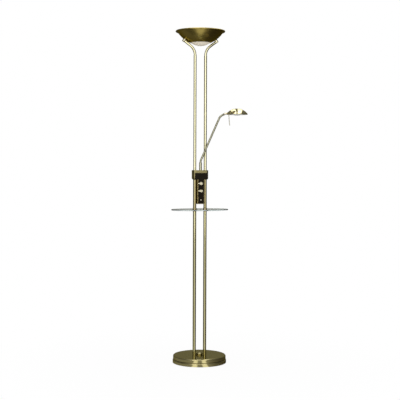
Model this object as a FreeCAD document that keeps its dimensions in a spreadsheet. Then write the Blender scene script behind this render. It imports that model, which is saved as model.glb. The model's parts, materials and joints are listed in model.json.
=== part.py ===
"""Torchiere floor lamp with a reading light on a gooseneck.

Millimetres, +Z up, front towards -Y. The origin is the middle of the base's underside.
The two poles stand side by side along X. The reading arm leans out to the right and forward.
"""

import FreeCAD, Part
import math
import os
import re

import Sketcher

os.makedirs("parts", exist_ok=True)
doc = FreeCAD.newDocument("Torchiere")

SIZES = (
    # overall
    ("rim_height", 1800, "top of the bowl above the floor"),
    ("fit", 0.05, "radial clearance of a plug, pin or shaft in its hole"),
    ("seat", 0.1, "gap left between a curved seat and what rests on it"),
    # base
    ("base_radius", 146, "lower tier"),
    ("tier_step", 2.5, "upper tier inside the lower one"),
    ("base_height", 42, "top face of the base"),
    ("tier_height", 20.5, "groove between the two tiers"),
    ("tier_round", 6, "rounded edge of each tier"),
    ("cover_wall", 1.2, "spun brass shell"),
    ("felt_inset", 8, "felt pad inside the lower tier"),
    ("felt_thick", 1.5, "felt pad"),
    ("plate_thick", 2, "steel bottom plate"),
    ("weight_gap", 10.8, "cast weight inside the cover"),
    ("weight_thick", 11, "rim of the cast weight"),
    ("weight_hub_radius", 52, "raised middle that carries the cover"),
    ("boss_gap", 3, "domed boss to the tube feet"),
    ("boss_height", 12, "domed boss"),
    ("boss_round", 6, "edge of the domed boss"),
    ("bush_height", 11, "cable bush above the floor"),
    ("bush_radius", 4.5, "neck of the cable bush"),
    ("bush_flange", 7, "radius of its flange"),
    ("cable_hole", 2.8, "radius of the hole for the cable"),
    # threaded fittings
    ("nipple_radius", 5, "threaded nipples"),
    ("nipple_bore", 3.5, "hollow of the nipples"),
    ("nut_radius", 9.2, "hexagon nuts, across corners / 2"),
    ("nut_thick", 5, "hexagon nuts"),
    ("washer_radius", 10.5, "steel washers"),
    ("washer_thick", 1.2, "steel washers"),
    ("plug_depth", 20, "plugs inside the tubes"),
    # poles
    ("pole_spacing", 59, "between the tube axes"),
    ("pole_radius", 9, "lower and middle tubes"),
    ("upper_radius", 8, "upper tubes"),
    ("tube_wall", 1, "all tubes"),
    ("socket_depth", 18, "middle tubes inside the block"),
    ("neck_drop", 133, "top of the upper tubes, where the necks bend, below the bowl's rim"),
    ("neck_depth", 30, "swan necks inside the upper tubes"),
    ("neck_turn", 54, "degrees that the swan necks bend"),
    # shelf
    ("shelf_drop", 28, "upper face of the glass below the control housing"),
    ("shelf_thick", 6, "glass"),
    ("shelf_length", 316, "along X"),
    ("shelf_depth", 200, "along Y"),
    ("shelf_end_radius", 70, "rounded ends"),
    ("shelf_edge", 1.5, "ground edge"),
    ("collar_radius", 11, "turned collars"),
    ("collar_height", 6, "turned collars outside the tubes"),
    ("pad_thick", 1, "clear washers between collar and glass"),
    # junction block
    ("block_bottom", 997, "underside of the block"),
    ("block_height", 36, "lower part of the block"),
    ("lid_height", 15, "lid of the block"),
    ("block_side", 4.5, "beyond the tubes along X"),
    ("block_depth", 44, "along Y"),
    ("block_corner", 12, "upright corners"),
    ("block_round", 8, "lower corners seen from the front"),
    ("chamber_width", 32, "wiring space in the block"),
    ("chamber_gap", 0.5, "wiring space around the nut of the arm"),
    ("screw_radius", 2, "set screws"),
    ("screw_length", 9, "set screws"),
    # control housing
    ("housing_gap", 0.5, "between the tubes and the housing"),
    ("housing_back", 20, "rear face behind the pole axes"),
    ("housing_drop", 132, "below the block"),
    ("housing_wall", 2, "front and rear walls, floor and sides"),
    ("slot_margin", 2, "front opening inside the panel's edges"),
    ("fascia_thick", 2, "black T-shaped panel"),
    ("fascia_side", 8, "ends of the T's bar inside the block's sides"),
    ("fascia_margin", 3.5, "stem of the T inside the housing's sides"),
    ("fascia_inset", 2, "panel above the housing's lower edge"),
    ("fascia_corner", 1.5, "corners of the panel"),
    ("shaft_radius", 3, "dimmer shafts"),
    ("shaft_hole", 3.8, "holes in the panel"),
    ("upper_knob_drop", 21, "axis of the uplight dimmer below the block"),
    ("lower_knob_drop", 61, "axis of the reading light dimmer below the block"),
    ("fascia_screw_lift", 22, "screw that holds the panel, above the housing's lower end"),
    ("fascia_screw_head", 5, "radius of its domed head"),
    ("fascia_screw_rise", 3, "height of its domed head"),
    ("fascia_screw_shank", 2, "radius of its shank"),
    ("fascia_screw_depth", 14, "length of its shank"),
    ("screw_post", 4.5, "radius of the post that takes the screw"),
    ("knob_gap", 0.6, "between panel and knob"),
    ("knob_thick", 8, "knob with its pointer"),
    ("knob_crown", 4, "raised hub of the knob"),
    ("knob_hub", 7.8, "radius of the hub"),
    ("knob_tip", 2, "radius of the pointer's end"),
    ("knob_reach", 17, "hub centre to pointer end centre"),
    ("knob_edge", 1.2, "rounded edge of the hub"),
    ("pointer_edge", 0.9, "rounded edge of the pointer"),
    ("dimmer_size", 24, "square dimmer modules"),
    ("dimmer_thick", 12, "dimmer modules"),
    ("board_side", 3, "circuit board to the housing's side walls"),
    ("board_top", 3, "circuit board below the block"),
    ("board_foot", 2.5, "circuit board above the screw's post"),
    ("board_thick", 1.6, "circuit board"),
    # bowl
    ("bowl_radius", 147, "outside of the spherical wall"),
    ("bowl_rise", 71.6, "centre of that sphere above the rim"),
    ("bowl_wall", 1.5, "spun shell"),
    ("bead_radius", 4.2, "rolled rim"),
    ("bead_offset", 2.6, "middle of the rolled rim outside the wall"),
    ("opening_radius", 54.5, "opening for the glass dish"),
    ("dish_gap", 2.5, "dish inside the opening"),
    ("dish_lap", 4.5, "flat rim of the dish beyond the opening"),
    ("dish_thick", 3, "glass dish"),
    ("dish_sag", 18, "bulge of the dish"),
    ("dish_skirt", 3, "straight part above the bulge"),
    ("ring_inset", 3.5, "ring that keeps the dish down, inside the opening"),
    ("ring_gap", 0.7, "that ring to the bowl's wall"),
    ("ring_thick", 1.2, "ring that keeps the dish down"),
    ("knuckle_angle", 36, "degrees from the vertical, seen from the sphere's centre"),
    ("knuckle_radius", 8.5, "knuckles under the bowl"),
    ("knuckle_length", 17, "knuckles under the bowl"),
    ("knuckle_dome", 3, "rounded outer end of the knuckles"),
    ("neck_offset", 9.5, "swan neck axis below the bowl's wall"),
    ("bolt_radius", 3, "bolts into the knuckles"),
    ("bolt_head", 5.5, "radius of their heads"),
    ("bolt_head_thick", 3.5, "heads of the bolts"),
    ("bolt_depth", 10, "thread inside the knuckle"),
    # lamp in the bowl
    ("bracket_width", 30, "along Y"),
    ("bracket_thick", 2, "bent steel strip"),
    ("bracket_rise", 9, "top of the bridge above the middle of the bracket's feet"),
    ("foot_length", 22, "feet of the bracket on the wall"),
    ("lamp_rise", 13, "axis of the linear lamp above the bridge"),
    ("lamp_length", 118, "linear lamp"),
    ("lamp_radius", 5.5, "quartz tube"),
    ("lamp_cap_radius", 4, "ceramic ends"),
    ("lamp_cap_length", 9, "ceramic ends"),
    ("holder_thick", 14, "ceramic lampholders, along X"),
    ("holder_width", 22, "ceramic lampholders, along Y"),
    ("holder_grip", 3, "lamp end inside the holder"),
    ("guard_gap", 5.5, "guard glass above the lamp"),
    ("guard_length", 150, "guard glass"),
    ("guard_width", 60, "guard glass"),
    ("guard_thick", 3, "guard glass"),
    # reading arm
    ("arm_forward", 10, "arm in front of the pole axes"),
    ("arm_azimuth", 30, "degrees forward of +X"),
    ("sleeve_wall", 2, "sleeve around the flexible tube"),
    ("sleeve_height", 42, "above the block"),
    ("sleeve_nipple", 5.5, "threaded foot of the sleeve"),
    ("sleeve_floor", 8, "thick bottom of the sleeve"),
    ("goose_radius", 5.5, "flexible tube"),
    ("ball_rise", 8, "first bend of the flexible tube above the sleeve"),
    ("arm_lean", 24, "degrees from the vertical"),
    ("middle_length", 212, "between the two bends"),
    ("upper_run", 38, "straight part above the second bend"),
    ("upper_bend_radius", 35, "bend towards the head"),
    ("upper_turn", 40, "degrees of that bend"),
    ("end_run", 4, "straight part after that bend"),
    ("ball_gap", 0.3, "gap in the bends"),
    ("cup_start", 5, "from the bend's centre to the next piece"),
    # tilting joint of the head
    ("fork_clear", 1, "round end of the lug to the bottom of the fork's slot"),
    ("pivot_reach", 15, "end of the flexible tube to the pivot"),
    ("fork_radius", 5, "rounded ends of fork and lug"),
    ("lug_thick", 4.4, "lug of the head"),
    ("cheek_thick", 2.6, "each cheek of the fork"),
    ("cheek_gap", 0.3, "between lug and cheek"),
    ("pin_radius", 1.8, "pivot pin"),
    ("pin_head", 3.4, "radius of the pin's heads"),
    ("pin_head_thick", 1.4, "heads of the pin"),
    # reading head
    ("head_gap", 7, "pivot to the lip of the shade"),
    ("head_drop", 5, "pivot above the rim of the shade"),
    ("shade_radius", 57, "outside of the shade"),
    ("shade_lip", 4, "straight lower edge"),
    ("shade_height", 32, "rim to top"),
    ("shade_wall", 1.2, "spun shell"),
    ("baffle_inner", 34.5, "ring around the lens"),
    ("baffle_thick", 1.5, "ring around the lens"),
    ("baffle_inset", 1, "ring above the rim"),
    ("lens_lap", 2.5, "frosted lens on its ring"),
    ("lens_gap", 0.5, "bulge of the lens inside its ring"),
    ("lens_thick", 2.5, "frosted lens"),
    ("lens_sag", 8.5, "bulge of the lens"),
    ("reflector_top", 12, "radius of the reflector's upper opening"),
    ("reflector_thick", 0.8, "reflector"),
    ("reflector_height", 16, "reflector"),
    ("socket_size", 16, "ceramic lampholder of the head"),
    ("socket_height", 9, "ceramic lampholder of the head"),
    ("capsule_radius", 5, "capsule lamp"),
    ("capsule_length", 15, "capsule lamp"),
    ("capsule_seat", 3, "capsule base inside its holder"),
    ("handle_radius", 2.2, "aiming handle"),
    ("handle_length", 62, "aiming handle"),
    ("handle_reach", 45, "from the middle of the head"),
    ("handle_lean", 5, "degrees towards the middle of the head"),
    ("handle_collar", 4, "radius of its collar"),
    ("handle_collar_thick", 2.5, "its collar"),
)

sheet = doc.addObject("Spreadsheet::Sheet", "Sizes")
for row, (alias, value, meaning) in enumerate(SIZES, start=1):
    sheet.set(f"A{row}", meaning)
    sheet.set(f"B{row}", str(value))
    sheet.setAlias(f"B{row}", alias)
doc.recompute()
NAMES = {alias for alias, value, meaning in SIZES}

# Places that several pieces share, as expressions of the sizes.
pole_x = "(pole_spacing / 2)"
inside_pole = "(pole_radius - tube_wall)"
plate_bottom = "felt_thick"
weight_bottom = "(felt_thick + plate_thick)"
upper_tier = "(base_radius - tier_step)"
groove_radius = "(base_radius - tier_round)"
neck_radius = "(upper_radius - tube_wall - fit)"
neck_start = "(rim_height - neck_drop)"
block_top = "(block_bottom + block_height)"
lid_top = "(block_bottom + block_height + lid_height)"
block_front = "(block_depth / 2)"
block_width = "(pole_spacing + 2 * pole_radius + 2 * block_side)"
fascia_front = "(block_depth / 2 + fascia_thick)"
housing_bottom = "(block_bottom - housing_drop)"
housing_width = "(pole_spacing - 2 * pole_radius - 2 * housing_gap)"
cavity_width = f"({housing_width} - 2 * housing_wall)"
fascia_screw_z = f"({housing_bottom} + fascia_screw_lift)"
shelf_top = f"({housing_bottom} - shelf_drop)"
shelf_bottom = f"({shelf_top} - shelf_thick)"
lower_tube_top = f"({shelf_bottom} - pad_thick - collar_height)"
middle_tube_bottom = f"({shelf_top} + pad_thick + collar_height)"
sphere_height = "(rim_height + bowl_rise)"
inner_sphere = "(bowl_radius - bowl_wall)"
opening_height = f"({sphere_height} - sqrt(bowl_radius ^ 2 - opening_radius ^ 2))"
dish_rim_radius = "(opening_radius + dish_lap)"
dish_seat = f"({sphere_height} - sqrt({inner_sphere} ^ 2 - {dish_rim_radius} ^ 2) + seat)"
# a flat foot inside the sphere rests on its four corners
foot_seat = f"(sqrt({inner_sphere} ^ 2 - foot_length ^ 2 / 4 - bracket_width ^ 2 / 4) - seat)"
foot_top = f"({foot_seat} - bracket_thick)"
bridge_top = f"({sphere_height} - {foot_seat} * cos(knuckle_angle) + bracket_rise)"
# end of a swan neck on its knuckle's axis
neck_end_x = "((bowl_radius + neck_offset) * sin(knuckle_angle))"
neck_end_z = f"({sphere_height} - (bowl_radius + neck_offset) * cos(knuckle_angle))"
# the reading arm, in its own upright plane: u outwards, z up
sleeve_radius = "(goose_radius + fit + sleeve_wall)"
first_ball_z = f"({lid_top} + sleeve_height + ball_rise)"
second_ball_u = "(middle_length * sin(arm_lean))"
second_ball_z = f"({first_ball_z} + middle_length * cos(arm_lean))"
end_lean = "(arm_lean + upper_turn)"
bend_u = f"({second_ball_u} + upper_run * sin(arm_lean))"
bend_z = f"({second_ball_z} + upper_run * cos(arm_lean))"
turned_u = f"({bend_u} + upper_bend_radius * (cos(arm_lean) - cos({end_lean})))"
turned_z = f"({bend_z} + upper_bend_radius * (sin({end_lean}) - sin(arm_lean)))"
tip_u = f"({turned_u} + end_run * sin({end_lean}))"
tip_z = f"({turned_z} + end_run * cos({end_lean}))"
pivot_u = f"({tip_u} + pivot_reach * sin({end_lean}))"
pivot_z = f"({tip_z} + pivot_reach * cos({end_lean}))"
head_u = f"({pivot_u} + head_gap + shade_radius)"
shade_rim = f"({pivot_z} - head_drop)"


def formula(text):
    """An expression in which each size is looked up in the sheet."""
    return re.sub(r"[A-Za-z_]\w*", lambda m: f"Sizes.{m[0]}" if m[0] in NAMES else m[0], str(text))


def size(text):
    """The present value of an expression of the sizes."""
    return float(sheet.evalExpression(formula(text)))


def bind(thing, **settings):
    """Tie properties of an object to expressions; a double underscore stands for a dot."""
    for key, text in settings.items():
        thing.setExpression(key.replace("__", "."), formula(text))


def place(thing, x="0", y="0", z="0", axis=None, angle="0"):
    """Tie an object's placement to expressions."""
    if axis:
        thing.Placement = FreeCAD.Placement(FreeCAD.Vector(), FreeCAD.Rotation(FreeCAD.Vector(*axis), 10))
        bind(thing, Placement__Rotation__Angle=angle)
    bind(thing, Placement__Base__x=x, Placement__Base__y=y, Placement__Base__z=z)
    return thing


def in_arm(thing, u="0", z="0"):
    """Stand an object, modelled along +X, in the plane of the reading arm."""
    x = f"{u} * cos(arm_azimuth)"
    y = f"-arm_forward - {u} * sin(arm_azimuth)"
    return place(thing, x, y, z, (0, 0, 1), "-arm_azimuth")


# ---- solids ----

def box(name, long, deep, high, x, y, z):
    """A box centred on x and y, standing on z."""
    thing = doc.addObject("Part::Box", name)
    bind(thing, Length=long, Width=deep, Height=high)
    return place(thing, f"{x} - ({long}) / 2", f"{y} - ({deep}) / 2", z)


def rod(name, radius, length, x="0", y="0", z="0", axis=None, angle="0"):
    """A cylinder that starts at x, y, z."""
    thing = doc.addObject("Part::Cylinder", name)
    bind(thing, Radius=radius, Height=length)
    return place(thing, x, y, z, axis, angle)


def cut(name, base, tool):
    thing = doc.addObject("Part::Cut", name)
    thing.Base = base
    thing.Tool = tool
    return thing


def fuse(name, *shapes):
    thing = doc.addObject("Part::MultiFuse", name)
    thing.Shapes = list(shapes)
    thing.Refine = True
    return thing


def tube(name, outside, inside, length, x="0", y="0", z="0", axis=None, angle="0"):
    """A hollow cylinder."""
    skin = rod(f"{name}_outside", outside, length, x, y, z, axis, angle)
    core = rod(f"{name}_inside", inside, length, x, y, z, axis, angle)
    return cut(name, skin, core)


def group(name, members):
    """Identical loose pieces in one node."""
    thing = doc.addObject("Part::Compound", name)
    thing.Links = members
    return thing


def hexagon_nut(name, x, y, z, bore):
    blank = doc.addObject("Part::Prism", f"{name}_blank")
    blank.Polygon = 6
    bind(blank, Circumradius="nut_radius", Height="nut_thick")
    place(blank, x, y, z)
    return cut(name, blank, rod(f"{name}_bore", bore, "nut_thick", x, y, z))


# ---- sketched bodies ----

def new_body(name):
    return doc.addObject("PartDesign::Body", name)


def new_sketch(body, role, name, lift="0"):
    """A sketch on one of the body's own origin planes, lifted along that plane's normal."""
    sketch = body.newObject("Sketcher::SketchObject", name)
    plane = next(f for f in body.Origin.OriginFeatures if f.Role == role)
    sketch.AttachmentSupport = [(plane, "")]
    sketch.MapMode = "FlatFace"
    bind(sketch, AttachmentOffset__Base__z=lift)
    return sketch


def fix_point(sketch, edge, end, tag, x=None, y=None):
    """Hold a sketch point's coordinates, on an axis where the coordinate is 0."""
    for text, kind, axis, mark in ((x, "DistanceX", -2, "x"), (y, "DistanceY", -1, "y")):
        if text is None:
            continue
        if text == "0":
            sketch.addConstraint(Sketcher.Constraint("PointOnObject", edge, end, axis))
            continue
        at = sketch.addConstraint(Sketcher.Constraint(kind, -1, 1, edge, end, size(text)))
        sketch.renameConstraint(at, f"{mark}{tag}")
        bind(sketch, **{f"Constraints__{mark}{tag}": text})


def add_circle(sketch, radius, x="0", y="0", tag=""):
    centre = FreeCAD.Vector(size(x), size(y), 0)
    edge = sketch.addGeometry(Part.Circle(centre, FreeCAD.Vector(0, 0, 1), size(radius)))
    fix_point(sketch, edge, 3, f"c{tag}", x, y)
    at = sketch.addConstraint(Sketcher.Constraint("Radius", edge, size(radius)))
    sketch.renameConstraint(at, f"radius{tag}")
    bind(sketch, **{f"Constraints__radius{tag}": radius})


def add_path(sketch, corners, closed=True, tag=""):
    """Lines and arcs through corners.

    A corner is (x, y), or (x, y, radius, centre x, centre y, turn) where the edge to the next
    corner is an arc; turn is +1 for counter-clockwise and -1 for clockwise.
    """
    points = [FreeCAD.Vector(size(c[0]), size(c[1]), 0) for c in corners]
    count = len(corners) if closed else len(corners) - 1
    ends = []
    for i in range(count):
        here = points[i]
        there = points[(i + 1) % len(points)]
        if len(corners[i]) == 2:
            edge = sketch.addGeometry(Part.LineSegment(here, there))
            ends.append((edge, 1, 2))
            continue
        radius, cx, cy, turn = corners[i][2:]
        centre = FreeCAD.Vector(size(cx), size(cy), 0)
        first = math.atan2(here.y - centre.y, here.x - centre.x)
        last = math.atan2(there.y - centre.y, there.x - centre.x)
        circle = Part.Circle(centre, FreeCAD.Vector(0, 0, 1), size(radius))
        if turn > 0:
            edge = sketch.addGeometry(Part.ArcOfCircle(circle, first, last))
            ends.append((edge, 1, 2))
        else:
            edge = sketch.addGeometry(Part.ArcOfCircle(circle, last, first))
            ends.append((edge, 2, 1))
    for i in range(count):
        if i + 1 < count or closed:
            after = ends[(i + 1) % count]
            link = Sketcher.Constraint("Coincident", ends[i][0], ends[i][2], after[0], after[1])
            sketch.addConstraint(link)
    for i, corner in enumerate(corners):
        edge, start, end = ends[min(i, count - 1)]
        fix_point(sketch, edge, start if i < count else end, f"{tag}p{i}", corner[0], corner[1])
        if len(corner) == 2 or i == count:
            continue
        # two ends and one coordinate of the centre settle an arc
        chord = points[(i + 1) % len(points)] - points[i]
        if abs(chord.y) > abs(chord.x):
            fix_point(sketch, edge, 3, f"{tag}c{i}", x=corner[3])
        else:
            fix_point(sketch, edge, 3, f"{tag}c{i}", y=corner[4])


def pad(body, sketch, length, reverse=False, both=False):
    feature = body.newObject("PartDesign::Pad", f"{sketch.Name}_pad")
    feature.Profile = sketch
    bind(feature, Length=length)
    feature.Reversed = reverse
    feature.Midplane = both
    return feature


def pocket(body, sketch, depth, reverse=False, both=False):
    """Cut a sketch into the body, and make sure that it removes something."""
    doc.recompute()
    before = body.Shape.Volume
    feature = body.newObject("PartDesign::Pocket", f"{sketch.Name}_pocket")
    feature.Profile = sketch
    bind(feature, Length=depth)
    feature.Reversed = reverse
    feature.Midplane = both
    doc.recompute()
    if body.Shape.Volume > before - 0.1:
        raise ValueError(f"{feature.Name} cuts nothing")
    return feature


def turn(body, sketch, cutting=False):
    """Revolve a sketch about its upright axis."""
    kind = "PartDesign::Groove" if cutting else "PartDesign::Revolution"
    feature = body.newObject(kind, f"{sketch.Name}_turned")
    feature.Profile = sketch
    feature.ReferenceAxis = (sketch, ["V_Axis"])
    feature.Angle = 360
    return feature


def turned(name, corners):
    """A body turned about its own Z axis from a profile of radius and height."""
    body = new_body(name)
    sketch = new_sketch(body, "XZ_Plane", f"{name}_profile")
    add_path(sketch, corners)
    turn(body, sketch)
    return body


def drill(body, name, radius, holes, lift, depth, role="XY_Plane", reverse=False):
    """Round holes, each at (x, y) of the plane."""
    sketch = new_sketch(body, role, name, lift)
    for number, (x, y) in enumerate(holes):
        add_circle(sketch, radius, x, y, str(number))
    pocket(body, sketch, depth, reverse)


def round_edges(body, name, radius, chosen):
    """Fillet the edges of the body's last feature that chosen picks."""
    doc.recompute()
    tip = body.Tip
    picked = [f"Edge{n}" for n, edge in enumerate(tip.Shape.Edges, start=1) if chosen(edge)]
    feature = body.newObject("PartDesign::Fillet", name)
    feature.Base = (tip, picked)
    bind(feature, Radius=radius)
    return feature


def level(edge, height):
    """Whether an edge lies in the horizontal plane at a height of the body's own frame."""
    bounds = edge.BoundBox
    return abs(bounds.ZMin - height) < 0.01 and abs(bounds.ZMax - height) < 0.01


def facing(edge, depth):
    """Whether an edge lies in the upright plane that far in front of the body's own origin."""
    bounds = edge.BoundBox
    return abs(bounds.YMin + size(depth)) < 0.01 and abs(bounds.YMax + size(depth)) < 0.01


def upright(edge):
    bounds = edge.BoundBox
    return bounds.XLength < 0.01 and bounds.YLength < 0.01 and bounds.ZLength > 1


poles = ((pole_x, "0"), (f"-{pole_x}", "0"))
sides = (("right", "1", "0"), ("left", "-1", "180"))
dimmers = (("uplight", "(block_bottom - upper_knob_drop)"), ("reading", "(block_bottom - lower_knob_drop)"))


# ---- base ----

def make_base():
    felt = new_body("base_felt")
    outline = new_sketch(felt, "XY_Plane", "felt_outline")
    add_circle(outline, "base_radius - felt_inset")
    pad(felt, outline, "felt_thick")

    plate = new_body("base_plate")
    outline = new_sketch(plate, "XY_Plane", "plate_outline", plate_bottom)
    add_circle(outline, "base_radius - cover_wall - fit")
    pad(plate, outline, "plate_thick")

    hub_top = "(base_height - cover_wall)"
    weight_top = f"({weight_bottom} + weight_thick)"
    weight_radius = "(base_radius - cover_wall - weight_gap)"
    weight = turned("base_weight", [
        ("0", weight_bottom),
        (weight_radius, weight_bottom),
        (weight_radius, weight_top),
        ("weight_hub_radius", weight_top),
        ("weight_hub_radius", hub_top),
        ("0", hub_top),
    ])
    drill(weight, "weight_bores", "nipple_radius + fit", poles, hub_top, "base_height")
    recess = "(nut_thick + washer_thick + fit)"
    drill(weight, "nut_recesses", "washer_radius + 1", poles, f"{weight_bottom} + {recess}", recess)

    upper_round = f"({upper_tier} - {groove_radius})"
    shoulder = "(base_height - tier_round)"
    cover = turned("base_cover", [
        ("base_radius", plate_bottom),
        ("base_radius", "tier_height - tier_round", "tier_round",
         groove_radius, "tier_height - tier_round", 1),
        (groove_radius, "tier_height", upper_round, groove_radius, f"tier_height + {upper_round}", 1),
        (upper_tier, f"tier_height + {upper_round}"),
        (upper_tier, shoulder, "tier_round", f"{upper_tier} - tier_round", shoulder, 1),
        (f"{upper_tier} - tier_round", "base_height"),
        ("0", "base_height"),
        ("0", hub_top),
        (f"{upper_tier} - tier_round", hub_top, "tier_round - cover_wall",
         f"{upper_tier} - tier_round", shoulder, -1),
        (f"{upper_tier} - cover_wall", shoulder),
        (f"{upper_tier} - cover_wall", f"tier_height + {upper_round}", f"{upper_round} - cover_wall",
         groove_radius, f"tier_height + {upper_round}", -1),
        (groove_radius, "tier_height + cover_wall"),
        (f"{groove_radius} - cover_wall", "tier_height + cover_wall"),
        (f"{groove_radius} - cover_wall", "tier_height - cover_wall"),
        (groove_radius, "tier_height - cover_wall", "tier_round - cover_wall",
         groove_radius, "tier_height - tier_round", -1),
        ("base_radius - cover_wall", "tier_height - tier_round"),
        ("base_radius - cover_wall", plate_bottom),
    ])
    drill(cover, "cover_bores", "nipple_radius + fit", poles, "base_height", "cover_wall + 1")
    drill(cover, "bush_hole", "bush_radius + fit", [("0", "bush_height")],
          "-base_radius - 1", "tier_round", role="XZ_Plane", reverse=True)

    bush = turned("cable_bush", [
        ("cable_hole", "-6"),
        ("bush_radius", "-6"),
        ("bush_radius", "seat"),
        ("bush_flange", "seat"),
        ("bush_flange", "2"),
        ("bush_flange - 1.5", "3.5"),
        ("cable_hole", "3.5"),
    ])
    place(bush, "0", "base_radius", "bush_height", (1, 0, 0), "-90")

    boss_radius = f"({pole_x} - pole_radius - boss_gap)"
    boss_shoulder = "(base_height + boss_height - boss_round)"
    turned("centre_boss", [
        ("0", "base_height"),
        (boss_radius, "base_height"),
        (boss_radius, boss_shoulder, "boss_round", f"{boss_radius} - boss_round", boss_shoulder, 1),
        (f"{boss_radius} - boss_round", "base_height + boss_height"),
        ("0", "base_height + boss_height"),
    ])


def make_foot_fittings():
    """Plugs in the tube feet, nipples down into the weight, washers and nuts under it."""
    plugs, nipples, washers, nuts = [], [], [], []
    recess_top = f"({weight_bottom} + nut_thick + washer_thick + fit)"
    for side, sign, turn_angle in sides:
        x = f"{sign} * {pole_x}"
        plugs.append(tube(f"foot_plug_{side}", f"{inside_pole} - fit", "nipple_radius + fit",
                          "plug_depth", x, "0", "base_height"))
        nipples.append(tube(f"foot_nipple_{side}", "nipple_radius", "nipple_bore",
                            f"base_height + plug_depth - {weight_bottom} - 1", x, "0",
                            f"{weight_bottom} + 1"))
        washers.append(tube(f"foot_washer_{side}", "washer_radius", "nipple_radius + fit",
                            "washer_thick", x, "0", f"{recess_top} - washer_thick"))
        nuts.append(hexagon_nut(f"foot_nut_{side}", x, "0",
                                f"{recess_top} - washer_thick - nut_thick", "nipple_radius + fit"))
    group("foot_plugs", plugs)
    group("foot_nipples", nipples)
    group("foot_washers", washers)
    group("foot_nuts", nuts)


# ---- poles ----

def make_poles():
    for side, sign, turn_angle in sides:
        x = f"{sign} * {pole_x}"
        tube(f"{side}_lower_tube", "pole_radius", inside_pole,
             f"{lower_tube_top} - base_height", x, "0", "base_height")
        tube(f"{side}_middle_tube", "pole_radius", inside_pole,
             f"block_bottom + socket_depth - {middle_tube_bottom}", x, "0", middle_tube_bottom)
        tube(f"{side}_upper_tube", "upper_radius", "upper_radius - tube_wall",
             f"{neck_start} - block_bottom - socket_depth - seat", x, "0",
             "block_bottom + socket_depth + seat")
        make_neck(side, turn_angle)


def make_neck(side, turn_angle):
    """A bent tube: upright, one bend, then straight to the knuckle, whose side cuts its end."""
    rise = f"({neck_end_z} - {neck_start})"
    run = f"({neck_end_x} - {pole_x})"
    # the bend and the straight end that follow from the two ends and the angle
    half = "tan(neck_turn / 2)"
    straight_down = f"({rise} - {run} / tan(neck_turn))"
    bend = f"({straight_down} / {half})"
    bent_x = f"({pole_x} + {bend} * (1 - cos(neck_turn)))"
    bent_z = f"({neck_start} + {bend} * sin(neck_turn))"

    body = new_body(f"{side}_neck_blank")
    path = new_sketch(body, "XZ_Plane", f"{side}_neck_path")
    add_path(path, [
        (pole_x, f"{neck_start} - neck_depth"),
        (pole_x, neck_start, bend, f"{pole_x} + {bend}", neck_start, -1),
        (bent_x, bent_z),
        (neck_end_x, neck_end_z),
    ], closed=False)
    for word, radius in (("outside", neck_radius), ("inside", f"{neck_radius} - tube_wall")):
        ring = new_sketch(body, "XY_Plane", f"{side}_neck_{word}", f"{neck_start} - neck_depth")
        add_circle(ring, radius, pole_x, "0")
        kind = "PartDesign::AdditivePipe" if word == "outside" else "PartDesign::SubtractivePipe"
        pipe = body.newObject(kind, f"{side}_neck_{word}_pipe")
        pipe.Profile = ring
        pipe.Spine = path
        doc.recompute()
    place(body, "0", "0", "0", (0, 0, 1), turn_angle)

    cope = rod(f"{side}_neck_cope", "knuckle_radius + fit", "2 * neck_offset + knuckle_length")
    stand_on_wall(cope, side, "bowl_radius + seat")
    cut(f"{side}_swan_neck", body, cope)


def stand_on_wall(thing, side, distance):
    """Point an object modelled along +Z away from the bowl's sphere, down one knuckle's axis."""
    sign = "1" if side == "right" else "-1"
    x = f"{sign} * ({distance}) * sin(knuckle_angle)"
    z = f"{sphere_height} - ({distance}) * cos(knuckle_angle)"
    return place(thing, x, "0", z, (0, 1, 0), f"{sign} * (180 - knuckle_angle)")


# ---- shelf ----

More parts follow.
